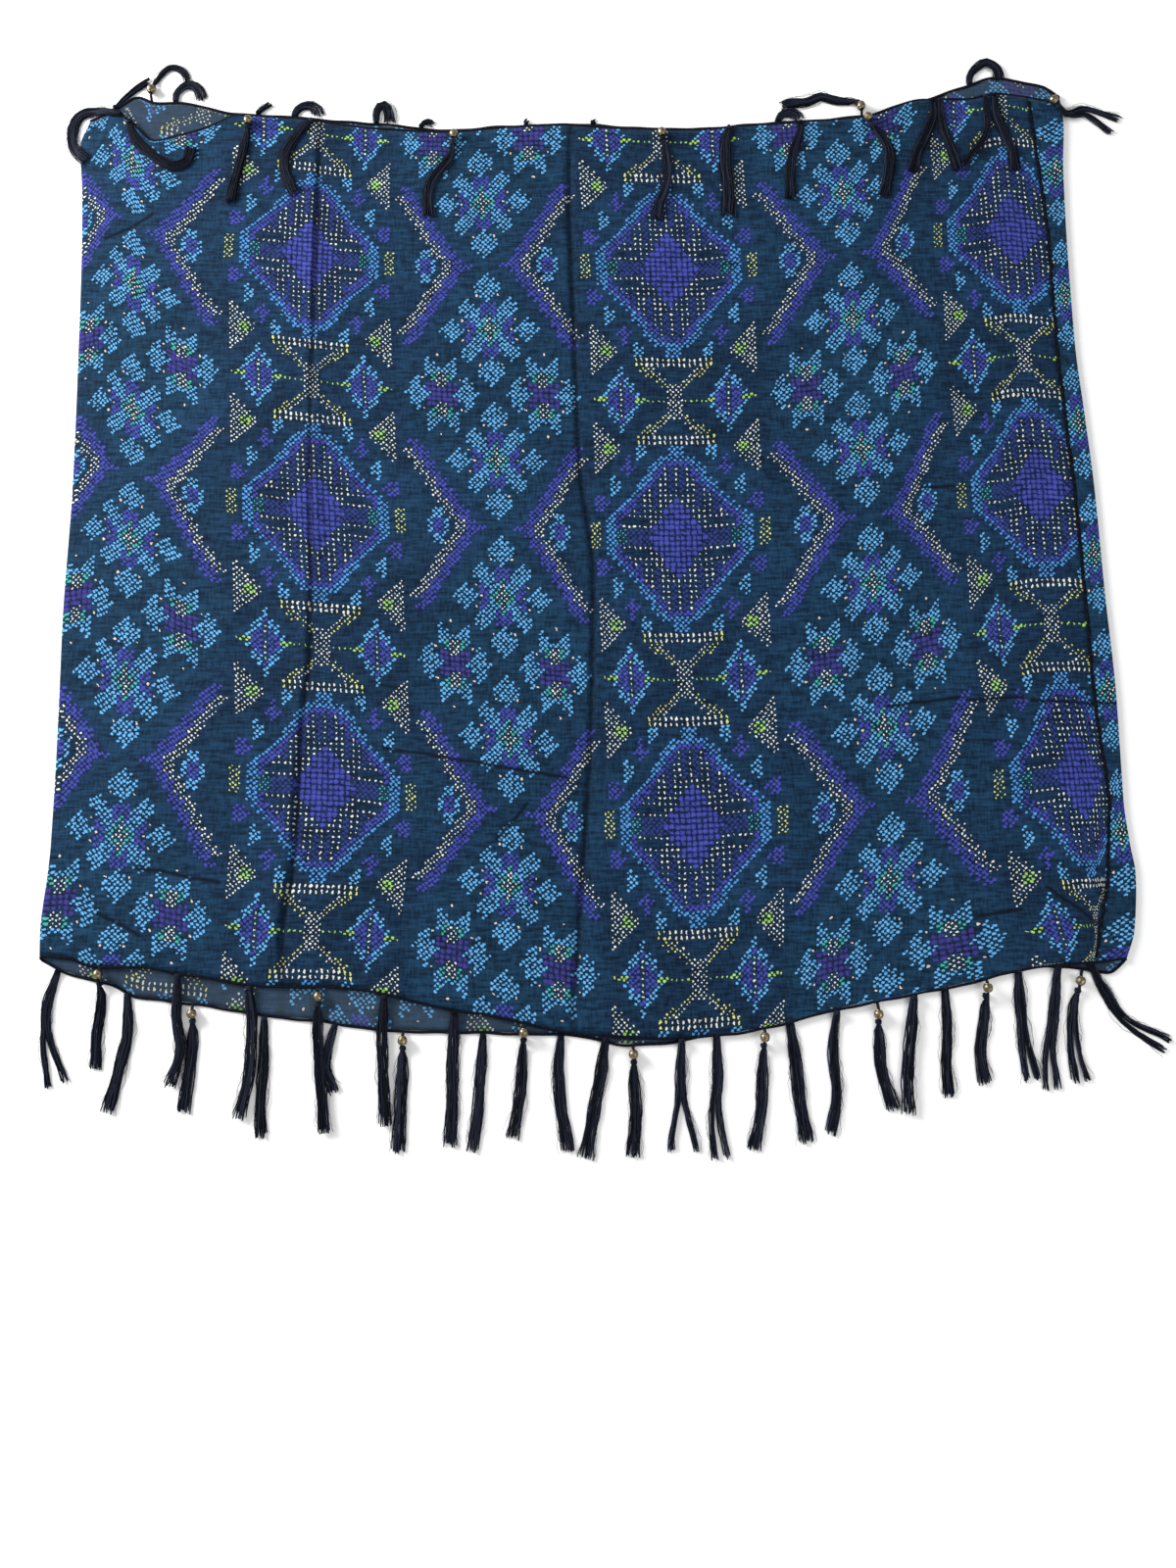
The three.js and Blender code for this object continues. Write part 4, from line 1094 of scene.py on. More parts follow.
def cloth_shell(name, columns, settings, materials, turned):
    """A thin closed shell on a stretch's columns, with the print's cells as its faces."""
    cells = np.array([column[0] for column in columns])
    rows = np.arange(CELLS_UP + 1)
    middle = np.stack([column[1] for column in columns], 1)
    outward = np.stack([column[2] for column in columns], 1)
    half = settings.thickness / MM / 2
    faces_apart = (middle + outward * half, middle - outward * half)
    points = np.concatenate([side.reshape(-1, 3) for side in faces_apart])
    across, up = np.meshgrid(cells, rows)
    grid = np.arange(len(rows) * len(cells)).reshape(len(rows), len(cells))
    corners = (grid[:-1, :-1], grid[:-1, 1:], grid[1:, 1:], grid[1:, :-1])
    outer_faces = np.stack(corners, -1).reshape(-1, 4)
    inner_faces = outer_faces[:, ::-1] + grid.size
    rims = []
    for line in (grid[0], grid[-1, ::-1], grid[::-1, 0], grid[:, -1]):
        under = line + grid.size
        rims.append(np.stack([line[:-1], under[:-1], under[1:], line[1:]], -1))
    faces = np.concatenate([outer_faces, inner_faces, *rims])
    if turned:
        faces = faces[:, ::-1]
    piece = new_piece(name, points, faces, materials)
    mesh = piece.data
    wrong = np.zeros(len(faces), np.int32)
    wrong[len(outer_faces) : 2 * len(outer_faces)] = 1
    mesh.polygons.foreach_set("material_index", wrong)
    place = np.stack([np.tile(across.ravel(), 2), np.tile(up.ravel(), 2)], -1)
    corner_places = place[faces]
    layer = mesh.uv_layers.new(name="cells")
    layer.data.foreach_set("uv", (corner_places - (LEFT_CELL, 0)).astype(np.float32).ravel())
    centres = corner_places.mean(1)
    chart = Print(cells.min(), cells.max(), settings)
    ink = chart.cell(chart.ink, centres[:, 0], centres[:, 1])
    size = chart.cell(chart.size, centres[:, 0], centres[:, 1])
    ground = chart.between(chart.ground, place[:, 0], place[:, 1])
    # painted shade along the deep long troughs darkens both the ink and the ground
    tone = painted_crease_shade(points[:, 0], points[:, 1])[faces.ravel(), None]
    paint_corners(mesh, "ink", np.repeat(ink, 4, axis=0) * tone)
    paint_corners(mesh, "mark", np.repeat(size, 4, axis=0))
    paint_corners(mesh, "ground", ground[faces.ravel()] * tone)
    return piece


def paint_corners(mesh, label, colours):
    """Keeps one colour for each corner of each face."""
    whole = np.concatenate([colours, np.ones((len(colours), 1))], 1).astype(np.float32)
    layer = mesh.color_attributes.new(label, "FLOAT_COLOR", "CORNER")
    layer.data.foreach_set("color", whole.ravel())


def pressed_lines(tree, place):
    """1 in the middle of the sharp folds, 0 beside them: where the painted shade and the bump's dip go."""
    wander = noise(tree, place, 40, detail=2).outputs["Color"]
    reach = (PRESSED_WANDER, PRESSED_WANDER, 0)
    moved = vector_maths(tree, "MULTIPLY_ADD", wander, reach, place)
    flat = vector_maths(tree, "MULTIPLY", moved, (1, 1, 0))
    deepest = 0.0
    for start, end in PRESSED_LINES:
        origin = (np.array((*start, 0)) - TABLE_MIDDLE + PRESSED_SHIFT) * MM
        run = np.array((*np.subtract(end, start), 0)) * MM
        length = float(np.linalg.norm(run))
        ahead = tuple(run / length)
        off = vector_maths(tree, "SUBTRACT", flat, tuple(origin))
        along = vector_maths(tree, "DOT_PRODUCT", off, ahead, out="Value")
        held = mapped(tree, along, 0, length, 0, length)
        nearest = vector_maths(tree, "SCALE", ahead, Scale=held)
        gap = vector_maths(tree, "DISTANCE", off, nearest, out="Value")
        near = mapped(tree, gap, 0, PRESSED_WIDTH * MM, 1, 0, soft=True)
        deepest = maths(tree, "MAXIMUM", deepest, near)
    return deepest


def printed_marks(tree, place):
    """How far each place is from the middle of its cell's marks, where 1 is a mark's edge."""
    cells = add_node(tree, "ShaderNodeUVMap", uv_map="cells").outputs[0]
    half = add_node(tree, "ShaderNodeSeparateXYZ", {0: attribute(tree, "mark", "Vector")}).outputs
    whole = vector_maths(tree, "FLOOR", cells)
    at = add_node(tree, "ShaderNodeSeparateXYZ", {0: vector_maths(tree, "FRACTION", cells)}).outputs
    diagonal = maths(tree, "SUBTRACT", maths(tree, "ADD", at[0], at[1]), 1)
    which = maths(tree, "SIGN", diagonal)
    own = add_node(tree, "ShaderNodeCombineXYZ", {0: maths(tree, "MULTIPLY", which, 0.25)}).outputs[0]
    own = vector_maths(tree, "ADD", whole, own)
    chance = add_node(tree, "ShaderNodeTexWhiteNoise", {"Vector": own}, noise_dimensions="2D")
    ragged = noise(tree, place, FRAY_SCALE, detail=3)
    random = add_node(tree, "ShaderNodeSeparateColor", {0: chance.outputs["Color"]}).outputs
    frayed = add_node(tree, "ShaderNodeSeparateColor", {0: ragged.outputs["Color"]}).outputs
    grown = mapped(tree, random[2], 0, 1, *MARK_GROWTH)
    apart = maths(tree, "MULTIPLY", which, half[2])
    reach = []
    for axis in (0, 1):
        middle = mapped(tree, random[axis], 0, 1, -0.5 - MARK_JITTER, -0.5 + MARK_JITTER)
        moved = maths(tree, "ADD", at[axis], middle)
        moved = maths(tree, "ADD", moved, mapped(tree, frayed[axis], 0.25, 0.75, -MARK_FRAY, MARK_FRAY))
        size = maths(tree, "MULTIPLY", half[axis], grown)
        near = maths(tree, "ABSOLUTE", maths(tree, "SUBTRACT", moved, apart))
        reach.append(maths(tree, "POWER", maths(tree, "DIVIDE", near, size), MARK_SQUARENESS))
    return maths(tree, "ADD", *reach)


def printed_material(name, settings, wrong_side):
    """Printed viscose: counted-thread marks on a slubby ground, drawn in each cell of the chart."""
    material, tree, shader = new_material(name)
    place = object_place(tree)
    edge = printed_marks(tree, place)
    printed = mapped(tree, edge, 0.72, 1.22, 1, 0, soft=True)
    warp = noise(tree, place, WARP_SCALE, (1.0, 0.22, 1.0)).outputs["Fac"]
    weft = noise(tree, place, WEFT_SCALE, (0.16, 1.0, 1.0)).outputs["Fac"]
    weft_share = maths(tree, "MULTIPLY", weft, 1 - WARP_SHARE)
    threads = maths(tree, "ADD", maths(tree, "MULTIPLY", warp, WARP_SHARE), weft_share)
    worn = noise(tree, place, WEAR_SCALE, detail=4).outputs["Fac"]
    slub = mapped(tree, threads, *THREAD_RANGE, 0.46, 1.52)
    patches = mapped(tree, worn, 0.3, 0.7, 0.86, 1.14)
    shaded = maths(tree, "MULTIPLY", patches, mapped(tree, edge, 1.2, 7.0, 0.60, 1.0))
    light = maths(tree, "MULTIPLY", slub, shaded)
    cloth = mixed(tree, 1.0, attribute(tree, "ground"), light, "MULTIPLY")
    bright = mapped(tree, edge, 0, 1.2, 1.12, 0.80)
    lit = maths(tree, "MULTIPLY", bright, mapped(tree, threads, *THREAD_RANGE, 0.78, 1.2))
    dyed = mixed(tree, 1.0, attribute(tree, "ink"), lit, "MULTIPLY")
    colour = mixed(tree, maths(tree, "MULTIPLY", printed, INK_COVER), cloth, dyed)
    crinkle = noise(tree, place, CRINKLE_SCALE, (0.5, 1.0, 1.0), detail=3).outputs["Fac"]
    height = maths(tree, "ADD", threads, maths(tree, "MULTIPLY", crinkle, CRINKLE_DEPTH))
    if wrong_side:
        colour = mixed(tree, WRONG_SIDE_HAZE, colour, (*settings.wrong_side, 1))
    else:
        # painted shade inside the sharp folds, on top of a dip in the bump there
        pressed = pressed_lines(tree, place)
        shade = maths(tree, "MULTIPLY", pressed, PRESSED_SHADE)
        colour = mixed(tree, shade, colour, (*settings.painted_fold_shade, 1))
        height = maths(tree, "SUBTRACT", height, maths(tree, "MULTIPLY", pressed, PRESSED_DEPTH))
    finish = {
        "Base Color": colour,
        "Normal": bumped(tree, height, 0.55, 0.00035),
        "Roughness": 0.82,
        "Specular IOR Level": 0.08,
        "Sheen Weight": 0.02,
        "Sheen Roughness": 0.45,
    }
    set_inputs(tree, shader, finish)
    return material


def thread_material(name, colour, highlight):
    """Twisted dark yarn with greyer fibres, which also stand in as painted highlights."""
    material, tree, shader = new_material(name)
    place = object_place(tree)
    tone = attribute(tree, "tone", "Fac")
    fibres = noise(tree, place, 1500, detail=3).outputs["Fac"]
    twist = noise(tree, place, 420, detail=2).outputs["Fac"]
    # greyer fibres and lighter yarns at random: partly the yarn's own colour, partly painted highlights
    grey, turned = mapped(tree, fibres, 0.42, 0.75, 0, 1), mapped(tree, twist, 0.3, 0.7, 0.3, 1)
    share = maths(tree, "MULTIPLY", maths(tree, "MULTIPLY", grey, turned), 0.5)
    share = maths(tree, "ADD", share, mapped(tree, tone, 0.35, 1, 0, 0.6))
    finish = {
        "Base Color": mixed(tree, share, (*colour, 1), (*highlight, 1)),
        "Normal": bumped(tree, fibres, 0.6, 0.0003),
        "Roughness": 0.62,
        "Specular IOR Level": 0.06,
    }
    set_inputs(tree, shader, finish)
    return material


def brass_material(settings):
    """Antique brass: worn bright on the crown, brown in the hollows."""
    material, tree, shader = new_material("aged_brass_beads")
    place = object_place(tree)
    patina = noise(tree, place, 700, detail=5).outputs["Fac"]
    scratches = noise(tree, place, 2600, (1, 1, 0.2), detail=2).outputs["Fac"]
    old = mapped(tree, patina, 0.38, 0.66, 0, 1)
    height = maths(tree, "ADD", patina, maths(tree, "MULTIPLY", scratches, 0.4))
    finish = {
        "Base Color": mixed(tree, old, (*settings.brass, 1), (*settings.patina, 1)),
        "Roughness": mapped(tree, patina, 0.3, 0.7, 0.26, 0.5),
        "Normal": bumped(tree, height, 0.35, 0.0002),
        "Metallic": 1.0,
    }
    set_inputs(tree, shader, finish)
    return material


def floor_material(settings):
    """Matt white paint with the faintest unevenness."""
    material, tree, shader = new_material("studio_floor")
    cloud = noise(tree, object_place(tree), 3, detail=2).outputs["Fac"]
    near = tuple(value * 0.985 for value in settings.floor)
    finish = {
        "Base Color": mixed(tree, cloud, (*settings.floor, 1), (*near, 1)),
        "Roughness": 0.95,
        "Specular IOR Level": 0.1,
    }
    set_inputs(tree, shader, finish)
    return material


# ---- Tassels ----


def tassel_rows(edge):
    """The tassels of both hems on one edge, each as one dictionary."""
    if edge == "top":
        return [dict(hem=hem, at=at, route=route, **rest) for hem, at, route, rest in TOP_TASSELS]
    rows = []
    for hem, at, drop, third, two_thirds, tip, rest in BOTTOM_TASSELS:
        route = ((third, -drop / 3), (two_thirds, -2 * drop / 3), (tip, -drop))
        rows.append(dict(hem=hem, at=at, route=route, **rest))
    return rows


def root_of(row, line):
    """Where a tassel starts in the middle of its hem."""
    if row.get("past"):
        line = line[::-1]
    off = line[:, 0] - row["at"]
    i = np.flatnonzero(off[1:] * off[:-1] <= 0)[0]
    share = off[i] / (off[i] - off[i + 1])
    return line[i] + (line[i + 1] - line[i]) * share


class Path:
    """The flat way of a tassel's middle, a centripetal spline through its route."""

    def __init__(self, root, route):
        places = np.array([(0.0, 0.0), *route]) + root[:2]
        ends = [2 * places[0] - places[1], *places, 2 * places[-1] - places[-2]]
        whole = []
        for before, start, end, after in zip(ends, ends[1:], ends[2:], ends[3:]):
            pairs = ((before, start), (start, end), (end, after))
            first, middle, last = (np.linalg.norm(b - a) ** 0.5 for a, b in pairs)
            leave = (start - before) / first - (end - before) / (first + middle) + (end - start) / middle
            arrive = (end - start) / middle - (after - start) / (middle + last) + (after - end) / last
            leave, arrive = leave * middle, arrive * middle
            t = np.linspace(0, 1, PATH_STEPS)[:, None]
            curve = start + leave * t + (3 * (end - start) - 2 * leave - arrive) * t**2
            whole.append(curve + (2 * (start - end) + leave + arrive) * t**3)
        line = np.concatenate(whole)
        steps = np.linalg.norm(np.diff(line, axis=0), axis=1)
        keep = np.concatenate(([True], steps > 1e-6))
        self.line = line[keep]
        self.run = run_along(self.line)
        self.length = self.run[-1]

    def at(self, run):
        """Where the path is at this distance along it."""
        return places_on(self.line, self.run, run)

    def beside(self, run, off):
        """Places that lie this far to the left of the path."""
        way = self.way(run)
        across = np.stack([-way[:, 1], way[:, 0]], -1)
        return self.at(run) + across * off[:, None]

    def way(self, run):
        """Which way it leads there."""
        ahead = self.at(run + 1.0) - self.at(np.maximum(run - 1.0, 0))
        beyond = np.asarray(run) >= self.length - 0.5
        if np.any(beyond):
            last = self.line[-1] - self.line[-4]
            ahead = np.where(np.asarray(beyond)[..., None], last, ahead)
        return ahead / np.linalg.norm(ahead, axis=-1, keepdims=True)


def ground_under(x, y, row):
    """The height of whatever lies under a place: the front layer, the back layer or the floor."""
    if row["hem"] == "back" and not row.get("past"):
        return np.zeros_like(x)
    near = share_along(x, 0.5)
    low, high = HEM["front", "bottom"](near), HEM["front", "top"](near)
    up = np.clip((y - low) / (high - low), 0, 1)
    along = share_along(x, up)
    on = {}
    for layer in ("front", "back"):
        above = y > HEM[layer, "bottom"](along) - HEM_MARGIN
        on[layer] = above & (y < HEM[layer, "top"](along) + HEM_MARGIN)
    front = np.maximum(FRONT_HEM_TOP, TOP_OF_FRONT + front_relief(x, y, up) + 0.1)
    height = np.where(on["front"], front, np.where(on["back"], BACK_HEM_TOP, 0))
    beside = (x < SIDE["left"](up) - SIDE_MARGIN) | (x > SIDE["right"](up) + SIDE_MARGIN)
    return np.where(beside, 0, height)


def settled(height, run, reach):
    """The height a yarn keeps over uneven ground: the highest near each place, then softened."""
    near = np.abs(run[:, None] - run[None, :])
    highest = np.where(near <= reach, height[None, :], -1).max(1)
    weight = np.exp(-((near / reach) ** 2))
    return (weight * highest[None, :]).sum(1) / weight.sum(1)


def bead_middle(row):
    """How far along its tassel a bead's middle lies."""
    return row.get("neck", NECK_LENGTH) + BEAD_LENGTH / 2


def head_length(row, path):
    """How much of a tassel is its knot, or its neck, bead and knot."""
    length = PLAIN_HEAD
    if row.get("bead"):
        length = row.get("neck", NECK_LENGTH) + BEAD_LENGTH + BEAD_TO_KNOT + 2 * KNOT_RADIUS
    return min(length, path.length * LONGEST_HEAD)


class Tassel:
    """One bundle of yarns: where it runs, how wide it is and how high it lies."""

    def __init__(self, row, line, settings, chance):
        self.row = row
        self.root = root_of(row, line)
        self.path = Path(self.root, row["route"])
        self.head = head_length(row, self.path)
        self.settings = settings
        self.chance = chance
        self.radius = settings.yarn_radius / MM
        scale = WIDE_BUNDLE if row.get("wide") else THIN_BUNDLE if row.get("thin") else 1.0
        self.count = max(FEWEST_YARNS, round(settings.yarns * scale))
        self.fullness = scale * chance.uniform(0.9, 1.1)
        self.lift = OVER_LIFT if row.get("over") else 0.0

    def half_width(self, run):
        """Half the bundle's width: narrow in the head, then spreading to the cut ends."""
        full = self.settings.bundle_width / MM / 2 * self.fullness
        beyond = np.clip(run - self.head, 0, None)
        spread = BODY_SHARE + SPREAD_SHARE * ease(beyond, 0, SPREAD_LENGTH)
        spread = spread + CUT_END_SHARE * ease(run, self.path.length - CUT_END_LENGTH, self.path.length)
        body = full * spread
        if self.row.get("bead"):
            opened = ease(run, self.head - 2.5, self.head + 5)
            return NECK_HALF_WIDTH + (body - NECK_HALF_WIDTH) * opened
        start = full * START_SHARE
        return start + (body - start) * ease(run, 0, self.head)

    def squeeze(self, run):
        """How far the yarns are pressed together where they pass a bead or the hem."""
        if self.row.get("bead"):
            return 0.45 + 0.55 * ease(run, self.head - 3, self.head + 3)
        return 0.7 + 0.3 * ease(run, 0, self.head)

    def head_height(self, run, height):
        """The bundle rises from its hem into the bead, or over its own hem."""
        if self.row.get("bead"):
            middle = bead_middle(self.row)
            ground = ground_near(self.path.at(middle), BEAD_RADIUS + GAP, self.row)
            axis = ground + GAP + BEAD_RADIUS
            rise = ease(run, 0, max(middle - BEAD_LENGTH / 2 - 0.5, 1.0))
            if self.row.get("neck"):
                rise = ease(run, 0.6 * self.row["neck"], self.row["neck"])
            fall = ease(run, middle + BEAD_LENGTH / 2 + 1.0, self.head + 6)
            start = self.root[2] + (axis - self.root[2]) * rise
            return start * (1 - fall) + height * fall
        return self.root[2] + (height - self.root[2]) * ease(run, 0, 4.5)

    def yarn(self, side, layer, thickness=1.0, end=None, wander=0.35):
        """One yarn at a share of the width, in the lower or upper layer."""
        chance = self.chance
        length = self.path.length - (chance.uniform(0, UNEVEN_CUT) if end is None else end)
        run = np.linspace(0, length, max(FEWEST_STEPS, round(length / YARN_STEP)))
        phase, waver = chance.uniform(0, 2 * math.pi), chance.uniform(*SLOW_WAVE)
        second, quick = chance.uniform(0, 2 * math.pi), chance.uniform(*QUICK_WAVE)
        slow_wave = 1.1 * np.sin(run / waver * WAVE_TURN + phase)
        quick_wave = 0.45 * np.sin(run / quick * WAVE_TURN + second)
        loose = ease(run, self.head, self.head + 12)
        off = side * self.half_width(run) + wander * (slow_wave + quick_wave) * loose
        tip = ease(run, length - TIP_LENGTH, length)
        off = off + tip * chance.uniform(-TIP_STRAY, TIP_STRAY)
        fork = self.row.get("fork", 0) / 2
        opened = ease(run / self.path.length, FORK_START, 1)
        off = off + fork * (1 if side > 0 else -1) * opened
        flat = self.path.beside(run, off)
        under = np.maximum(ground_under(flat[:, 0], flat[:, 1], self.row), self.lift)
        ground = settled(under, run, YARN_REACH)
        stack = self.radius * (1.05 + layer * 1.55 + 0.25 * np.sin(run / quick * 3.1 + phase))
        height = self.head_height(run, ground + np.maximum(stack, self.radius))
        size = self.squeeze(run) * thickness * (1 - 0.25 * tip)
        return np.concatenate([flat, height[:, None]], 1), size, chance.uniform(0, 1)

    def yarns(self):
        """The yarns of the lower layer, then the fewer ones that lie on them."""
        lower = math.ceil(self.count * 0.56)
        upper = self.count - lower
        lines = []
        for count, layer, reach in ((lower, 0, 1.0), (upper, 1, 0.74)):
            for i in range(count):
                side = (2 * (i + 0.5) / count - 1) * reach + self.chance.uniform(-0.06, 0.06)
                lines.append(self.yarn(side, layer))
        return lines

    def strays(self, count):
        """Thin fibres that have worked loose."""
        lines = []
        for _ in range(count):
            side = self.chance.choice([-1, 1]) * self.chance.uniform(0.7, 1.25)
            end = self.chance.uniform(-2.5, 8)
            lines.append(self.yarn(side, self.chance.uniform(0, 1), 0.24, end, wander=1.5))
        return lines

    def coil(self, middle, half_length, turns, wide, tall, thickness):
        """A yarn wound round the bundle as a knot."""
        share = np.linspace(0, 1, round(turns * KNOT_STEPS) + 1)
        run = middle + half_length * (2 * share - 1)
        turn = 2 * math.pi * turns * share + self.chance.uniform(0, WAVE_TURN)
        bulge = 0.82 + 0.18 * np.sin(math.pi * share)
        flat = self.path.beside(run, wide * bulge * np.cos(turn))
        ground = ground_near(self.path.at(middle), 2.0, self.row)
        if not self.row.get("bead") and middle < 3:
            ground = max(ground, self.root[2] - 0.5)
        ground = max(ground, self.lift if middle > 8 else 0)
        height = ground + self.radius * thickness + tall + tall * bulge * np.sin(turn)
        return np.concatenate([flat, height[:, None]], 1), thickness, self.chance.uniform(0.2, 1)

    def knots(self):
        """The round knot below a bead, or the small one at the hem."""
        if self.row.get("bead"):
            middle = bead_middle(self.row) + BEAD_LENGTH / 2 + BEAD_TO_KNOT + KNOT_RADIUS
            return [
                self.coil(middle, KNOT_RADIUS * 0.75, 3.2, 2.0, 1.7, 1.25),
                self.coil(middle, KNOT_RADIUS * 0.5, 2.1, 2.5, 1.9, 1.05),
            ]
        return [self.coil(2.2, 1.5, 2.2, 1.9, 1.1, 1.1)]


def ground_near(place, distance, row):
    """The highest ground round a place."""
    steps = np.linspace(-distance, distance, 5)
    across, up = np.meshgrid(steps, steps)
    return float(ground_under(place[0] + across.ravel(), place[1] + up.ravel(), row).max())


# ---- Settings ----


def length_property(label, description, default):
    """A size in metres."""
    return bpy.props.FloatProperty(
        name=label, description=description, default=default, unit="LENGTH", precision=5
    )


def colour_property(label, description, red, green, blue):
    """A colour, given as it shows on a screen."""
    return bpy.props.FloatVectorProperty(
        name=label,
        description=description,
        default=linear(red, green, blue),
        subtype="COLOR",
        min=0,
        max=1,
    )


def count_property(label, description, default, fewest, most):
    """A number of pieces."""
    return bpy.props.IntProperty(
        name=label, description=description, default=default, min=fewest, max=most
    )


class ScarfCloth(bpy.types.PropertyGroup):
    """Sizes and colours of the printed cloth."""

    thickness: length_property("Thickness", "Thickness of the cloth with its nap", 0.0006)
    ground: colour_property("Ground", "Colour of the bare cloth", 19, 46, 70)
    shadow: colour_property("Shadow", "Darker dye round the pale marks", 13, 26, 50)
    leaf: colour_property("Leaf", "Greener dye round the flowers", 17, 52, 66)
    blue: colour_property("Blue", "Flowers and small leaves", 92, 162, 216)
    azure: colour_property("Azure", "Outline of the medallions", 74, 138, 204)
    violet: colour_property("Violet", "Between the dots of the medallions", 42, 52, 112)
    purple: colour_property("Purple", "Fill of medallions and chevrons", 61, 66, 152)
    plum: colour_property("Plum", "Middle of the half flowers", 56, 50, 122)
    cream: colour_property("Cream", "Pale dots", 214, 214, 200)
    yellow: colour_property("Yellow", "Sides of the hourglasses", 206, 208, 116)
    lime: colour_property("Lime", "Heart of the triangles", 152, 198, 92)
    teal: colour_property("Teal", "Middle of the flowers", 66, 160, 152)
    pink: colour_property("Pink", "Single dots by the flowers", 208, 190, 180)
    painted_fold_shade: colour_property("Pressed folds", "Shade inside the sharp folds", 8, 14, 28)
    wrong_side: colour_property("Wrong side", "Haze over the print on the inner face", 70, 82, 94)


class ScarfTrim(bpy.types.PropertyGroup):
    """Sizes and colours of the seam, hems, tassels and beads."""

    hem_width: length_property("Hem width", "Width of the bound hem", 0.0024)
    hem_height: length_property("Hem height", "Thickness of the bound hem", 0.0014)
    wrap_pitch: length_property("Wrap pitch", "Distance between two loops of the binding thread", 0.0021)
    seam_width: length_property("Seam width", "Width of the ring seam's fell", 0.0030)
    seam_height: length_property("Seam height", "Height of the ring seam's fell", 0.0009)
    stitch_pitch: length_property("Stitch pitch", "Distance between two seam stitches", 0.0026)
    yarn_radius: length_property("Yarn radius", "Radius of one tassel yarn", 0.00062)
    bundle_width: length_property("Bundle width", "Width of a tassel near its cut end", 0.0108)
    yarns: count_property("Yarns", "Yarns in a tassel", 16, FEWEST_YARNS, 24)
    strays: count_property("Strays", "Loose fibres of a tassel", 4, 0, 12)
    thread: colour_property("Thread", "Yarn and binding thread", 3, 5, 11)
    thread_light: colour_property("Thread highlight", "Greyer fibres of the yarn", 46, 52, 70)
    brass: colour_property("Brass", "Metal of the beads", 160, 146, 118)
    patina: colour_property("Patina", "Aged places of the beads", 72, 64, 50)


class ScarfStage(bpy.types.PropertyGroup):
    """The floor, the light and the camera."""

    floor: colour_property("Floor", "Colour of the floor", 250, 250, 250)
    floor_size: length_property("Floor size", "Side of the floor", 6.0)
    sky: bpy.props.FloatProperty(name="Sky", description="Strength of the even light", default=0.58)
    window: bpy.props.FloatProperty(
        name="Window", description="Power of the soft light", default=92.0, unit="POWER"
    )
    camera_height: length_property("Camera height", "Height of the camera above the floor", 0.988)
    camera_tilt: bpy.props.FloatProperty(
        name="Camera tilt",
        description="Tilt towards the top hem",
        default=math.radians(8.5),
        subtype="ANGLE",
    )
    lens: bpy.props.FloatProperty(name="Lens", description="Focal length in millimetres", default=27.0)


# ---- Operators ----

FRINGES = (("front", "bottom"), ("back", "bottom"), ("front", "top"), ("back", "top"))
HEM_DISTANCE = 1.1        # from the cloth's edge to the middle of its hem
HEM_STEP = 3.0            # between two points of a hem
BEAD_HEM_DISTANCE = 1.5   # from the cloth's edge to where a beaded tassel leaves the hem
TASSEL_SEED = 11
# The rest of these are in metres.
SEWING_THREAD_RADIUS = 0.00028
FLOOR_LEVEL = -0.0004     # just under the looks' lowest points
WINDOW_PLACE = Vector((-2.0, 0.9, 0.95))
WINDOW_SIDE = 1.0
FILL_SHARE = 0.2          # of the window's power, for the light from the other side
FILL_PLACE = Vector((1.6, -1.2, 1.8))
FILL_SIDE = 1.6


class SCARF_OT_printed_cloth(bpy.types.Operator):
    """Lay out the two stretches of printed cloth, with their folds and creases"""

    bl_idname = "scarf.printed_cloth"
    bl_label = "Printed cloth"

    def execute(self, context):
        settings = context.scene.scarf_cloth
        right = printed_material("printed_viscose_right_side", settings, False)
        wrong = printed_material("printed_viscose_wrong_side", settings, True)
        up = np.arange(CELLS_UP + 1) / CELLS_UP
        half = settings.thickness / MM / 2
        radius = (TOP_OF_FRONT - 2 * half) / 2
        for layer, lay_out, turned in (("front", front_columns, False), ("back", back_columns, True)):
            columns = lay_out(up, half, radius)
            piece = cloth_shell(f"printed_{layer}", columns, settings, (right, wrong), turned)
            hand_over(piece, "printed_viscose", f"{layer}_stretch")
        return {"FINISHED"}


class SCARF_OT_ring_seam(bpy.types.Operator):
    """Sew the ring seam: a narrow fell with its stitches"""

    bl_idname = "scarf.ring_seam"
    bl_label = "Ring seam"

    def execute(self, context):
        settings = context.scene.scarf_trim
        up = np.linspace(0.004, 0.996, 300)
        x = SIDE["seam"](up) + 0.25 * np.sin(up * 160) + 0.2 * np.sin(up * 71 + 1)
        points, outward = on_front(x, up, TOP_OF_FRONT + 0.1)
        width, height = settings.seam_width / MM / 2, settings.seam_height / MM / 2
        fell, faces = tube(points, outward, width, height, 10)
        dark = thread_material("seam_fell", settings.thread, context.scene.scarf_cloth.shadow)
        hand_over(new_piece("ring_seam_fell", fell, faces, [dark]), "bound_thread", "ring_seam")
        stitches = ring_stitches(points + (0, 0, height), settings)
        thread = thread_material("seam_thread", settings.thread, settings.thread_light)
        guide = guide_lines("ring_seam_stitches", stitches)
        values = {"Yarn radius": SEWING_THREAD_RADIUS, "Sides": 5, "Material": thread}
        hand_over(plain_mesh(guide, yarn_tree(), values), "bound_thread", "ring_seam")
        return {"FINISHED"}


def ring_stitches(line, settings):
    """Short stitches along the fell, alternately a little to its left and right."""
    run = run_along(line)
    pitch = settings.stitch_pitch / MM
    lines = []
    for i, start in enumerate(np.arange(2, run[-1] - 3, pitch)):
        share = np.linspace(0, 1, 5)
        along = start + share * pitch * 0.78
        points = places_on(line, run, along)
        points[:, 0] += 0.55 * (1 if i % 2 else -1) * np.sin(math.pi * share)
        points[:, 2] += 0.25 * np.sin(math.pi * share) - 0.12
        lines.append((points, 1.0, (i * 7 % 10) / 10))
    return lines


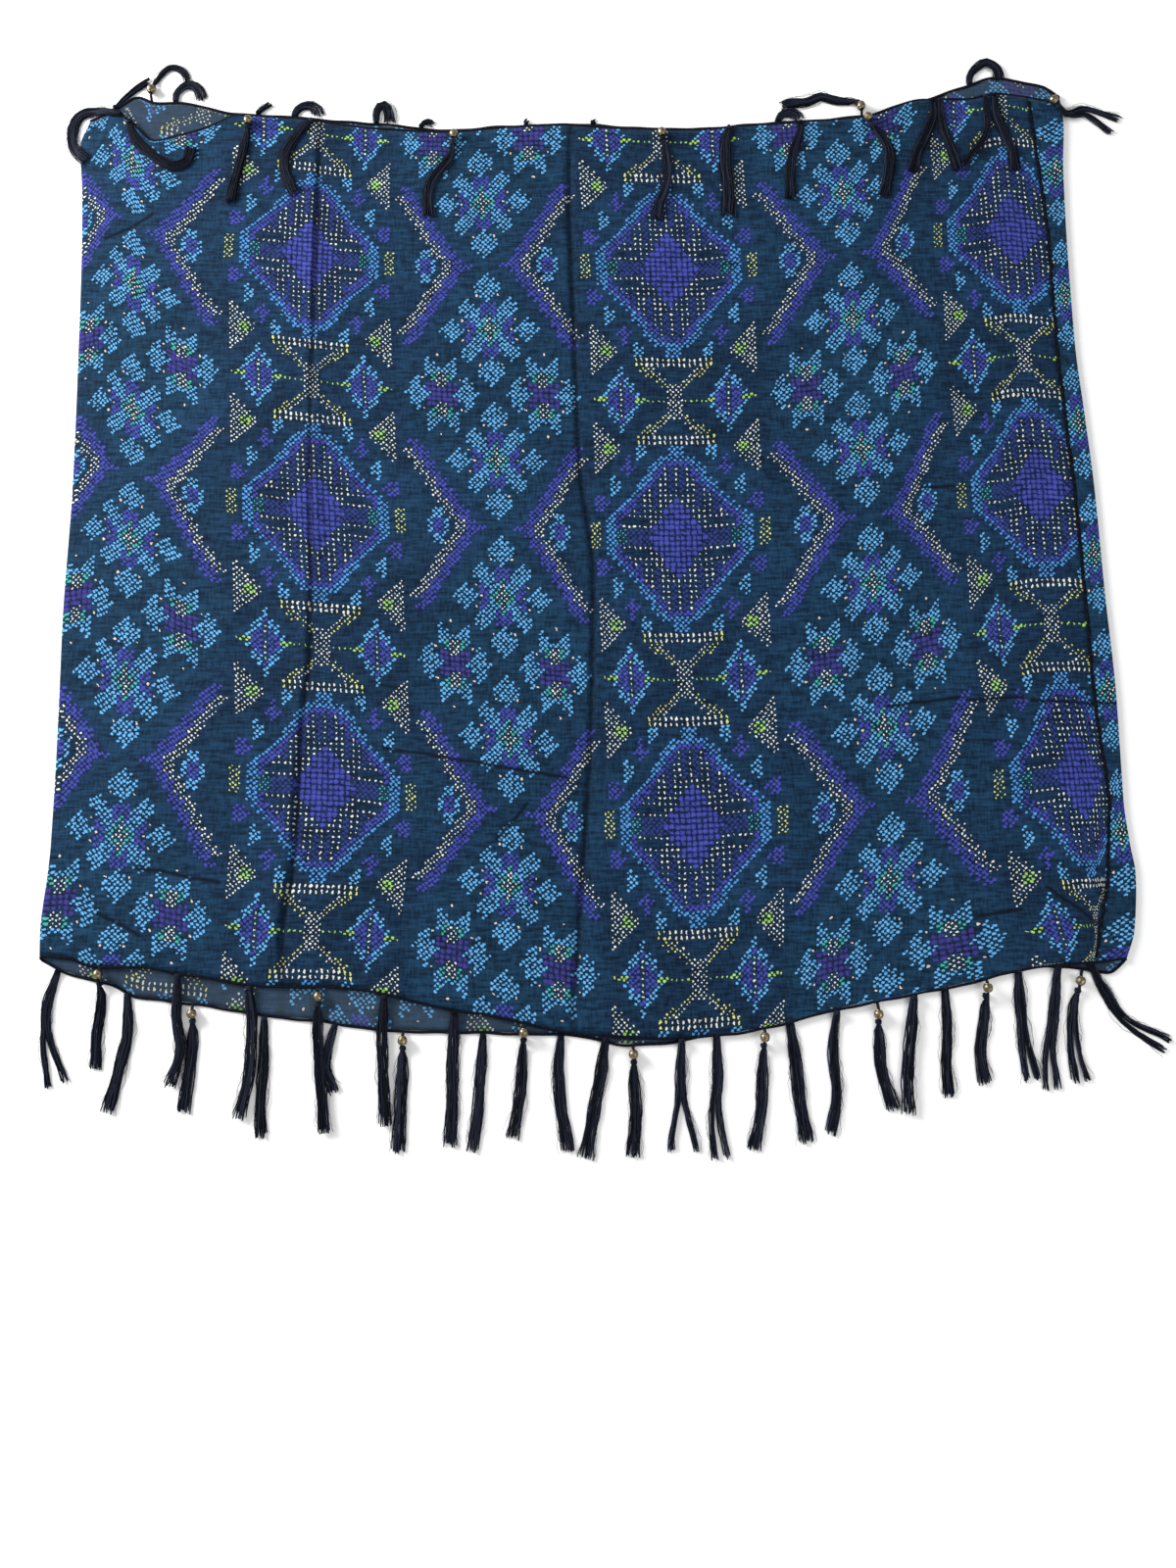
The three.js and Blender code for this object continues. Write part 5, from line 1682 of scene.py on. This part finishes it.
class SCARF_OT_hems(bpy.types.Operator):
    """Roll the narrow hems and bind them with slanting thread"""

    bl_idname = "scarf.hems"
    bl_label = "Hems"

    def execute(self, context):
        settings = context.scene.scarf_trim
        thread = thread_material("hem_thread", settings.thread, settings.thread_light)
        wraps = wrap_tree()
        for layer, edge in FRINGES:
            line = wavy(resampled(hem_line(layer, edge, HEM_DISTANCE), HEM_STEP))
            outward = np.broadcast_to((0.0, 0.0, 1.0), line.shape).copy()
            steep = np.abs(np.gradient(line, axis=0)[:, 2]) > 0.7
            outward[steep] = (1.0, 0.0, 0.0)
            width, height = settings.hem_width / MM / 2, settings.hem_height / MM / 2
            roll, faces = tube(line, outward, width, height, 8)
            piece = new_piece(f"{layer}_{edge}_hem", roll, faces, [thread])
            hand_over(piece, "bound_thread", f"{layer}_{edge}_fringe")
            guide = guide_lines(f"{layer}_{edge}_hem_binding", [(line, 1.0, 0.5)])
            values = {
                "Pitch": settings.wrap_pitch,
                "Half width": settings.hem_width / 2 + 0.0001,
                "Flatness": settings.hem_height / settings.hem_width,
                "Material": thread,
            }
            hand_over(plain_mesh(guide, wraps, values), "bound_thread", f"{layer}_{edge}_fringe")
        return {"FINISHED"}


def resampled(line, step):
    """The same line with points at even steps."""
    run = run_along(line)
    return places_on(line, run, np.linspace(0, run[-1], round(run[-1] / step) + 1))


def wavy(line):
    """A hem is drawn in by its thread, so it wavers a little."""
    moved = line.copy()
    x = line[:, 0]
    moved[:, 1] += 0.45 * np.sin(x / 6.1) * np.sin(x / 37 + 1) + 0.3 * np.sin(x / 14.3 + 2)
    return moved


class SCARF_OT_tassels(bpy.types.Operator):
    """Tie the yarn tassels into all four hems"""

    bl_idname = "scarf.tassels"
    bl_label = "Tassels"

    def execute(self, context):
        settings = context.scene.scarf_trim
        yarn = thread_material("tassel_yarn", settings.thread, settings.thread_light)
        tree = yarn_tree()
        for number, (layer, edge) in enumerate(FRINGES):
            chance = np.random.default_rng(TASSEL_SEED + number)
            line = hem_line(layer, edge, HEM_DISTANCE)
            lines = []
            for row in tassel_rows(edge):
                if row["hem"] == layer:
                    tassel = Tassel(row, line, settings, chance)
                    lines += tassel.yarns() + tassel.knots() + tassel.strays(settings.strays)
            guide = guide_lines(f"{layer}_{edge}_tassels", lines)
            values = {"Yarn radius": settings.yarn_radius, "Sides": 5, "Material": yarn}
            hand_over(plain_mesh(guide, tree, values), "bound_thread", f"{layer}_{edge}_fringe")
        return {"FINISHED"}


class SCARF_OT_beads(bpy.types.Operator):
    """Thread the aged brass beads onto every third tassel"""

    bl_idname = "scarf.beads"
    bl_label = "Beads"

    def execute(self, context):
        settings = context.scene.scarf_trim
        brass = brass_material(settings)
        profile, faces = lathe(bead_profile(), 32)
        for layer, edge in FRINGES:
            line = hem_line(layer, edge, BEAD_HEM_DISTANCE)
            rows = [row for row in tassel_rows(edge) if row["hem"] == layer and row.get("bead")]
            points, all_faces, nodes = [], [], []
            for i, row in enumerate(rows):
                node = f"bead_{layer}_{edge}_{i + 1}"
                low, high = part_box(node)
                middle = np.array((low + high) / 2) / MM + TABLE_MIDDLE
                path = Path(root_of(row, line), row["route"])
                axis = Vector((*path.way(bead_middle(row)), 0))
                turn = np.array(axis.to_track_quat("Z", "X").to_matrix())
                all_faces.append(faces + len(profile) * i)
                points.append(profile @ turn.T + middle)
                nodes.append(node)
            name = f"{layer}_{edge}_beads"
            piece = new_piece(name, np.concatenate(points), np.concatenate(all_faces), [brass])
            hand_over(piece, "aged_brass", *nodes)
        return {"FINISHED"}


def bead_profile():
    """A round bead with a rolled lip at each mouth, from the hole outwards and back."""
    half = BEAD_LENGTH / 2
    outer = [(2.0, -half), (2.45, -half + 0.05), (2.6, -half + 0.35), (2.55, -half + 0.6)]
    for angle in np.linspace(-44, 44, 13):
        turn = math.radians(angle)
        outer.append((BEAD_RADIUS * math.cos(turn) ** 0.85, BEAD_RADIUS * math.sin(turn) * 1.04))
    outer += [(radius, -distance) for radius, distance in reversed(outer[:4])]
    return outer + [(1.75, half - 0.3), (1.75, -half + 0.3)]


class SCARF_OT_stage(bpy.types.Operator):
    """Set the pale floor, the soft light and the camera"""

    bl_idname = "scarf.stage"
    bl_label = "Stage"

    def execute(self, context):
        settings = context.scene.scarf_stage
        scene = context.scene
        half = settings.floor_size / 2
        mesh = bpy.data.meshes.new("floor")
        corners = [(-half, -half), (half, -half), (half, half), (-half, half)]
        mesh.from_pydata([(*corner, FLOOR_LEVEL) for corner in corners], [], [(0, 1, 2, 3)])
        mesh.materials.append(floor_material(settings))
        floor = add_object("floor", mesh)
        scene.view_settings.view_transform = "Standard"
        world = bpy.data.worlds.new("soft_sky")
        world.use_nodes = True
        sky = world.node_tree.nodes["Background"]
        sky.inputs["Color"].default_value = (1, 1, 1, 1)
        sky.inputs["Strength"].default_value = settings.sky
        scene.world = world
        add_window(settings.window, WINDOW_PLACE, WINDOW_SIDE)
        add_window(settings.window * FILL_SHARE, FILL_PLACE, FILL_SIDE)
        camera = add_object("camera", bpy.data.cameras.new("camera"))
        camera.data.lens = settings.lens
        camera.location = (*(-TABLE_MIDDLE[:2] * MM), settings.camera_height)
        camera.rotation_euler = (settings.camera_tilt, 0, 0)
        scene.camera = camera
        return {"FINISHED"}


def add_window(power, place, side):
    """A large soft light turned towards the scarf."""
    light = bpy.data.lights.new("soft_window", "AREA")
    light.shape = "SQUARE"
    light.size = side
    light.energy = power
    lamp = add_object("soft_window", light)
    lamp.location = place
    lamp.rotation_euler = (-place).to_track_quat("-Z", "Y").to_euler()


class SCARF_PT_panel(bpy.types.Panel):
    """Lists the steps and sizes of the scarf"""

    bl_idname = "SCARF_PT_panel"
    bl_label = "Infinity scarf"
    bl_space_type = "VIEW_3D"
    bl_region_type = "UI"
    bl_category = "Scarf"

    def draw(self, context):
        for step in STEPS:
            self.layout.operator(step.bl_idname)
        for group in GROUPS:
            settings = getattr(context.scene, GROUPS[group])
            for name in group.__annotations__:
                self.layout.prop(settings, name)


STEPS = (
    SCARF_OT_printed_cloth,
    SCARF_OT_ring_seam,
    SCARF_OT_hems,
    SCARF_OT_tassels,
    SCARF_OT_beads,
    SCARF_OT_stage,
)
GROUPS = {ScarfCloth: "scarf_cloth", ScarfTrim: "scarf_trim", ScarfStage: "scarf_stage"}


def register():
    """Adds the settings, steps and panel."""
    for group, name in GROUPS.items():
        bpy.utils.register_class(group)
        setattr(bpy.types.Scene, name, bpy.props.PointerProperty(type=group))
    for kind in (*STEPS, SCARF_PT_panel):
        bpy.utils.register_class(kind)


def unregister():
    """Takes them away again, the last one first."""
    for kind in (SCARF_PT_panel, *reversed(STEPS)):
        bpy.utils.unregister_class(kind)
    for group, name in reversed(GROUPS.items()):
        delattr(bpy.types.Scene, name)
        bpy.utils.unregister_class(group)


def declare_cloth():
    """Gathers the names of the pieces that each stretch holds, and does nothing more with them."""
    held = {
        "front": ["ring_seam_fell", "ring_seam_stitches"],
        "back": [],
    }
    for layer, extra in held.items():
        names = list(extra)
        for edge in ("bottom", "top"):
            names += [f"{layer}_{edge}_{part}" for part in ("hem", "hem_binding", "tassels", "beads")]


def main():
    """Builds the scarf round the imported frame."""
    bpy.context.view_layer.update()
    register()
    bpy.ops.scarf.printed_cloth()
    bpy.ops.scarf.ring_seam()
    bpy.ops.scarf.hems()
    bpy.ops.scarf.tassels()
    bpy.ops.scarf.beads()
    bpy.ops.scarf.stage()
    declare_cloth()


if __name__ == "__main__":
    main()
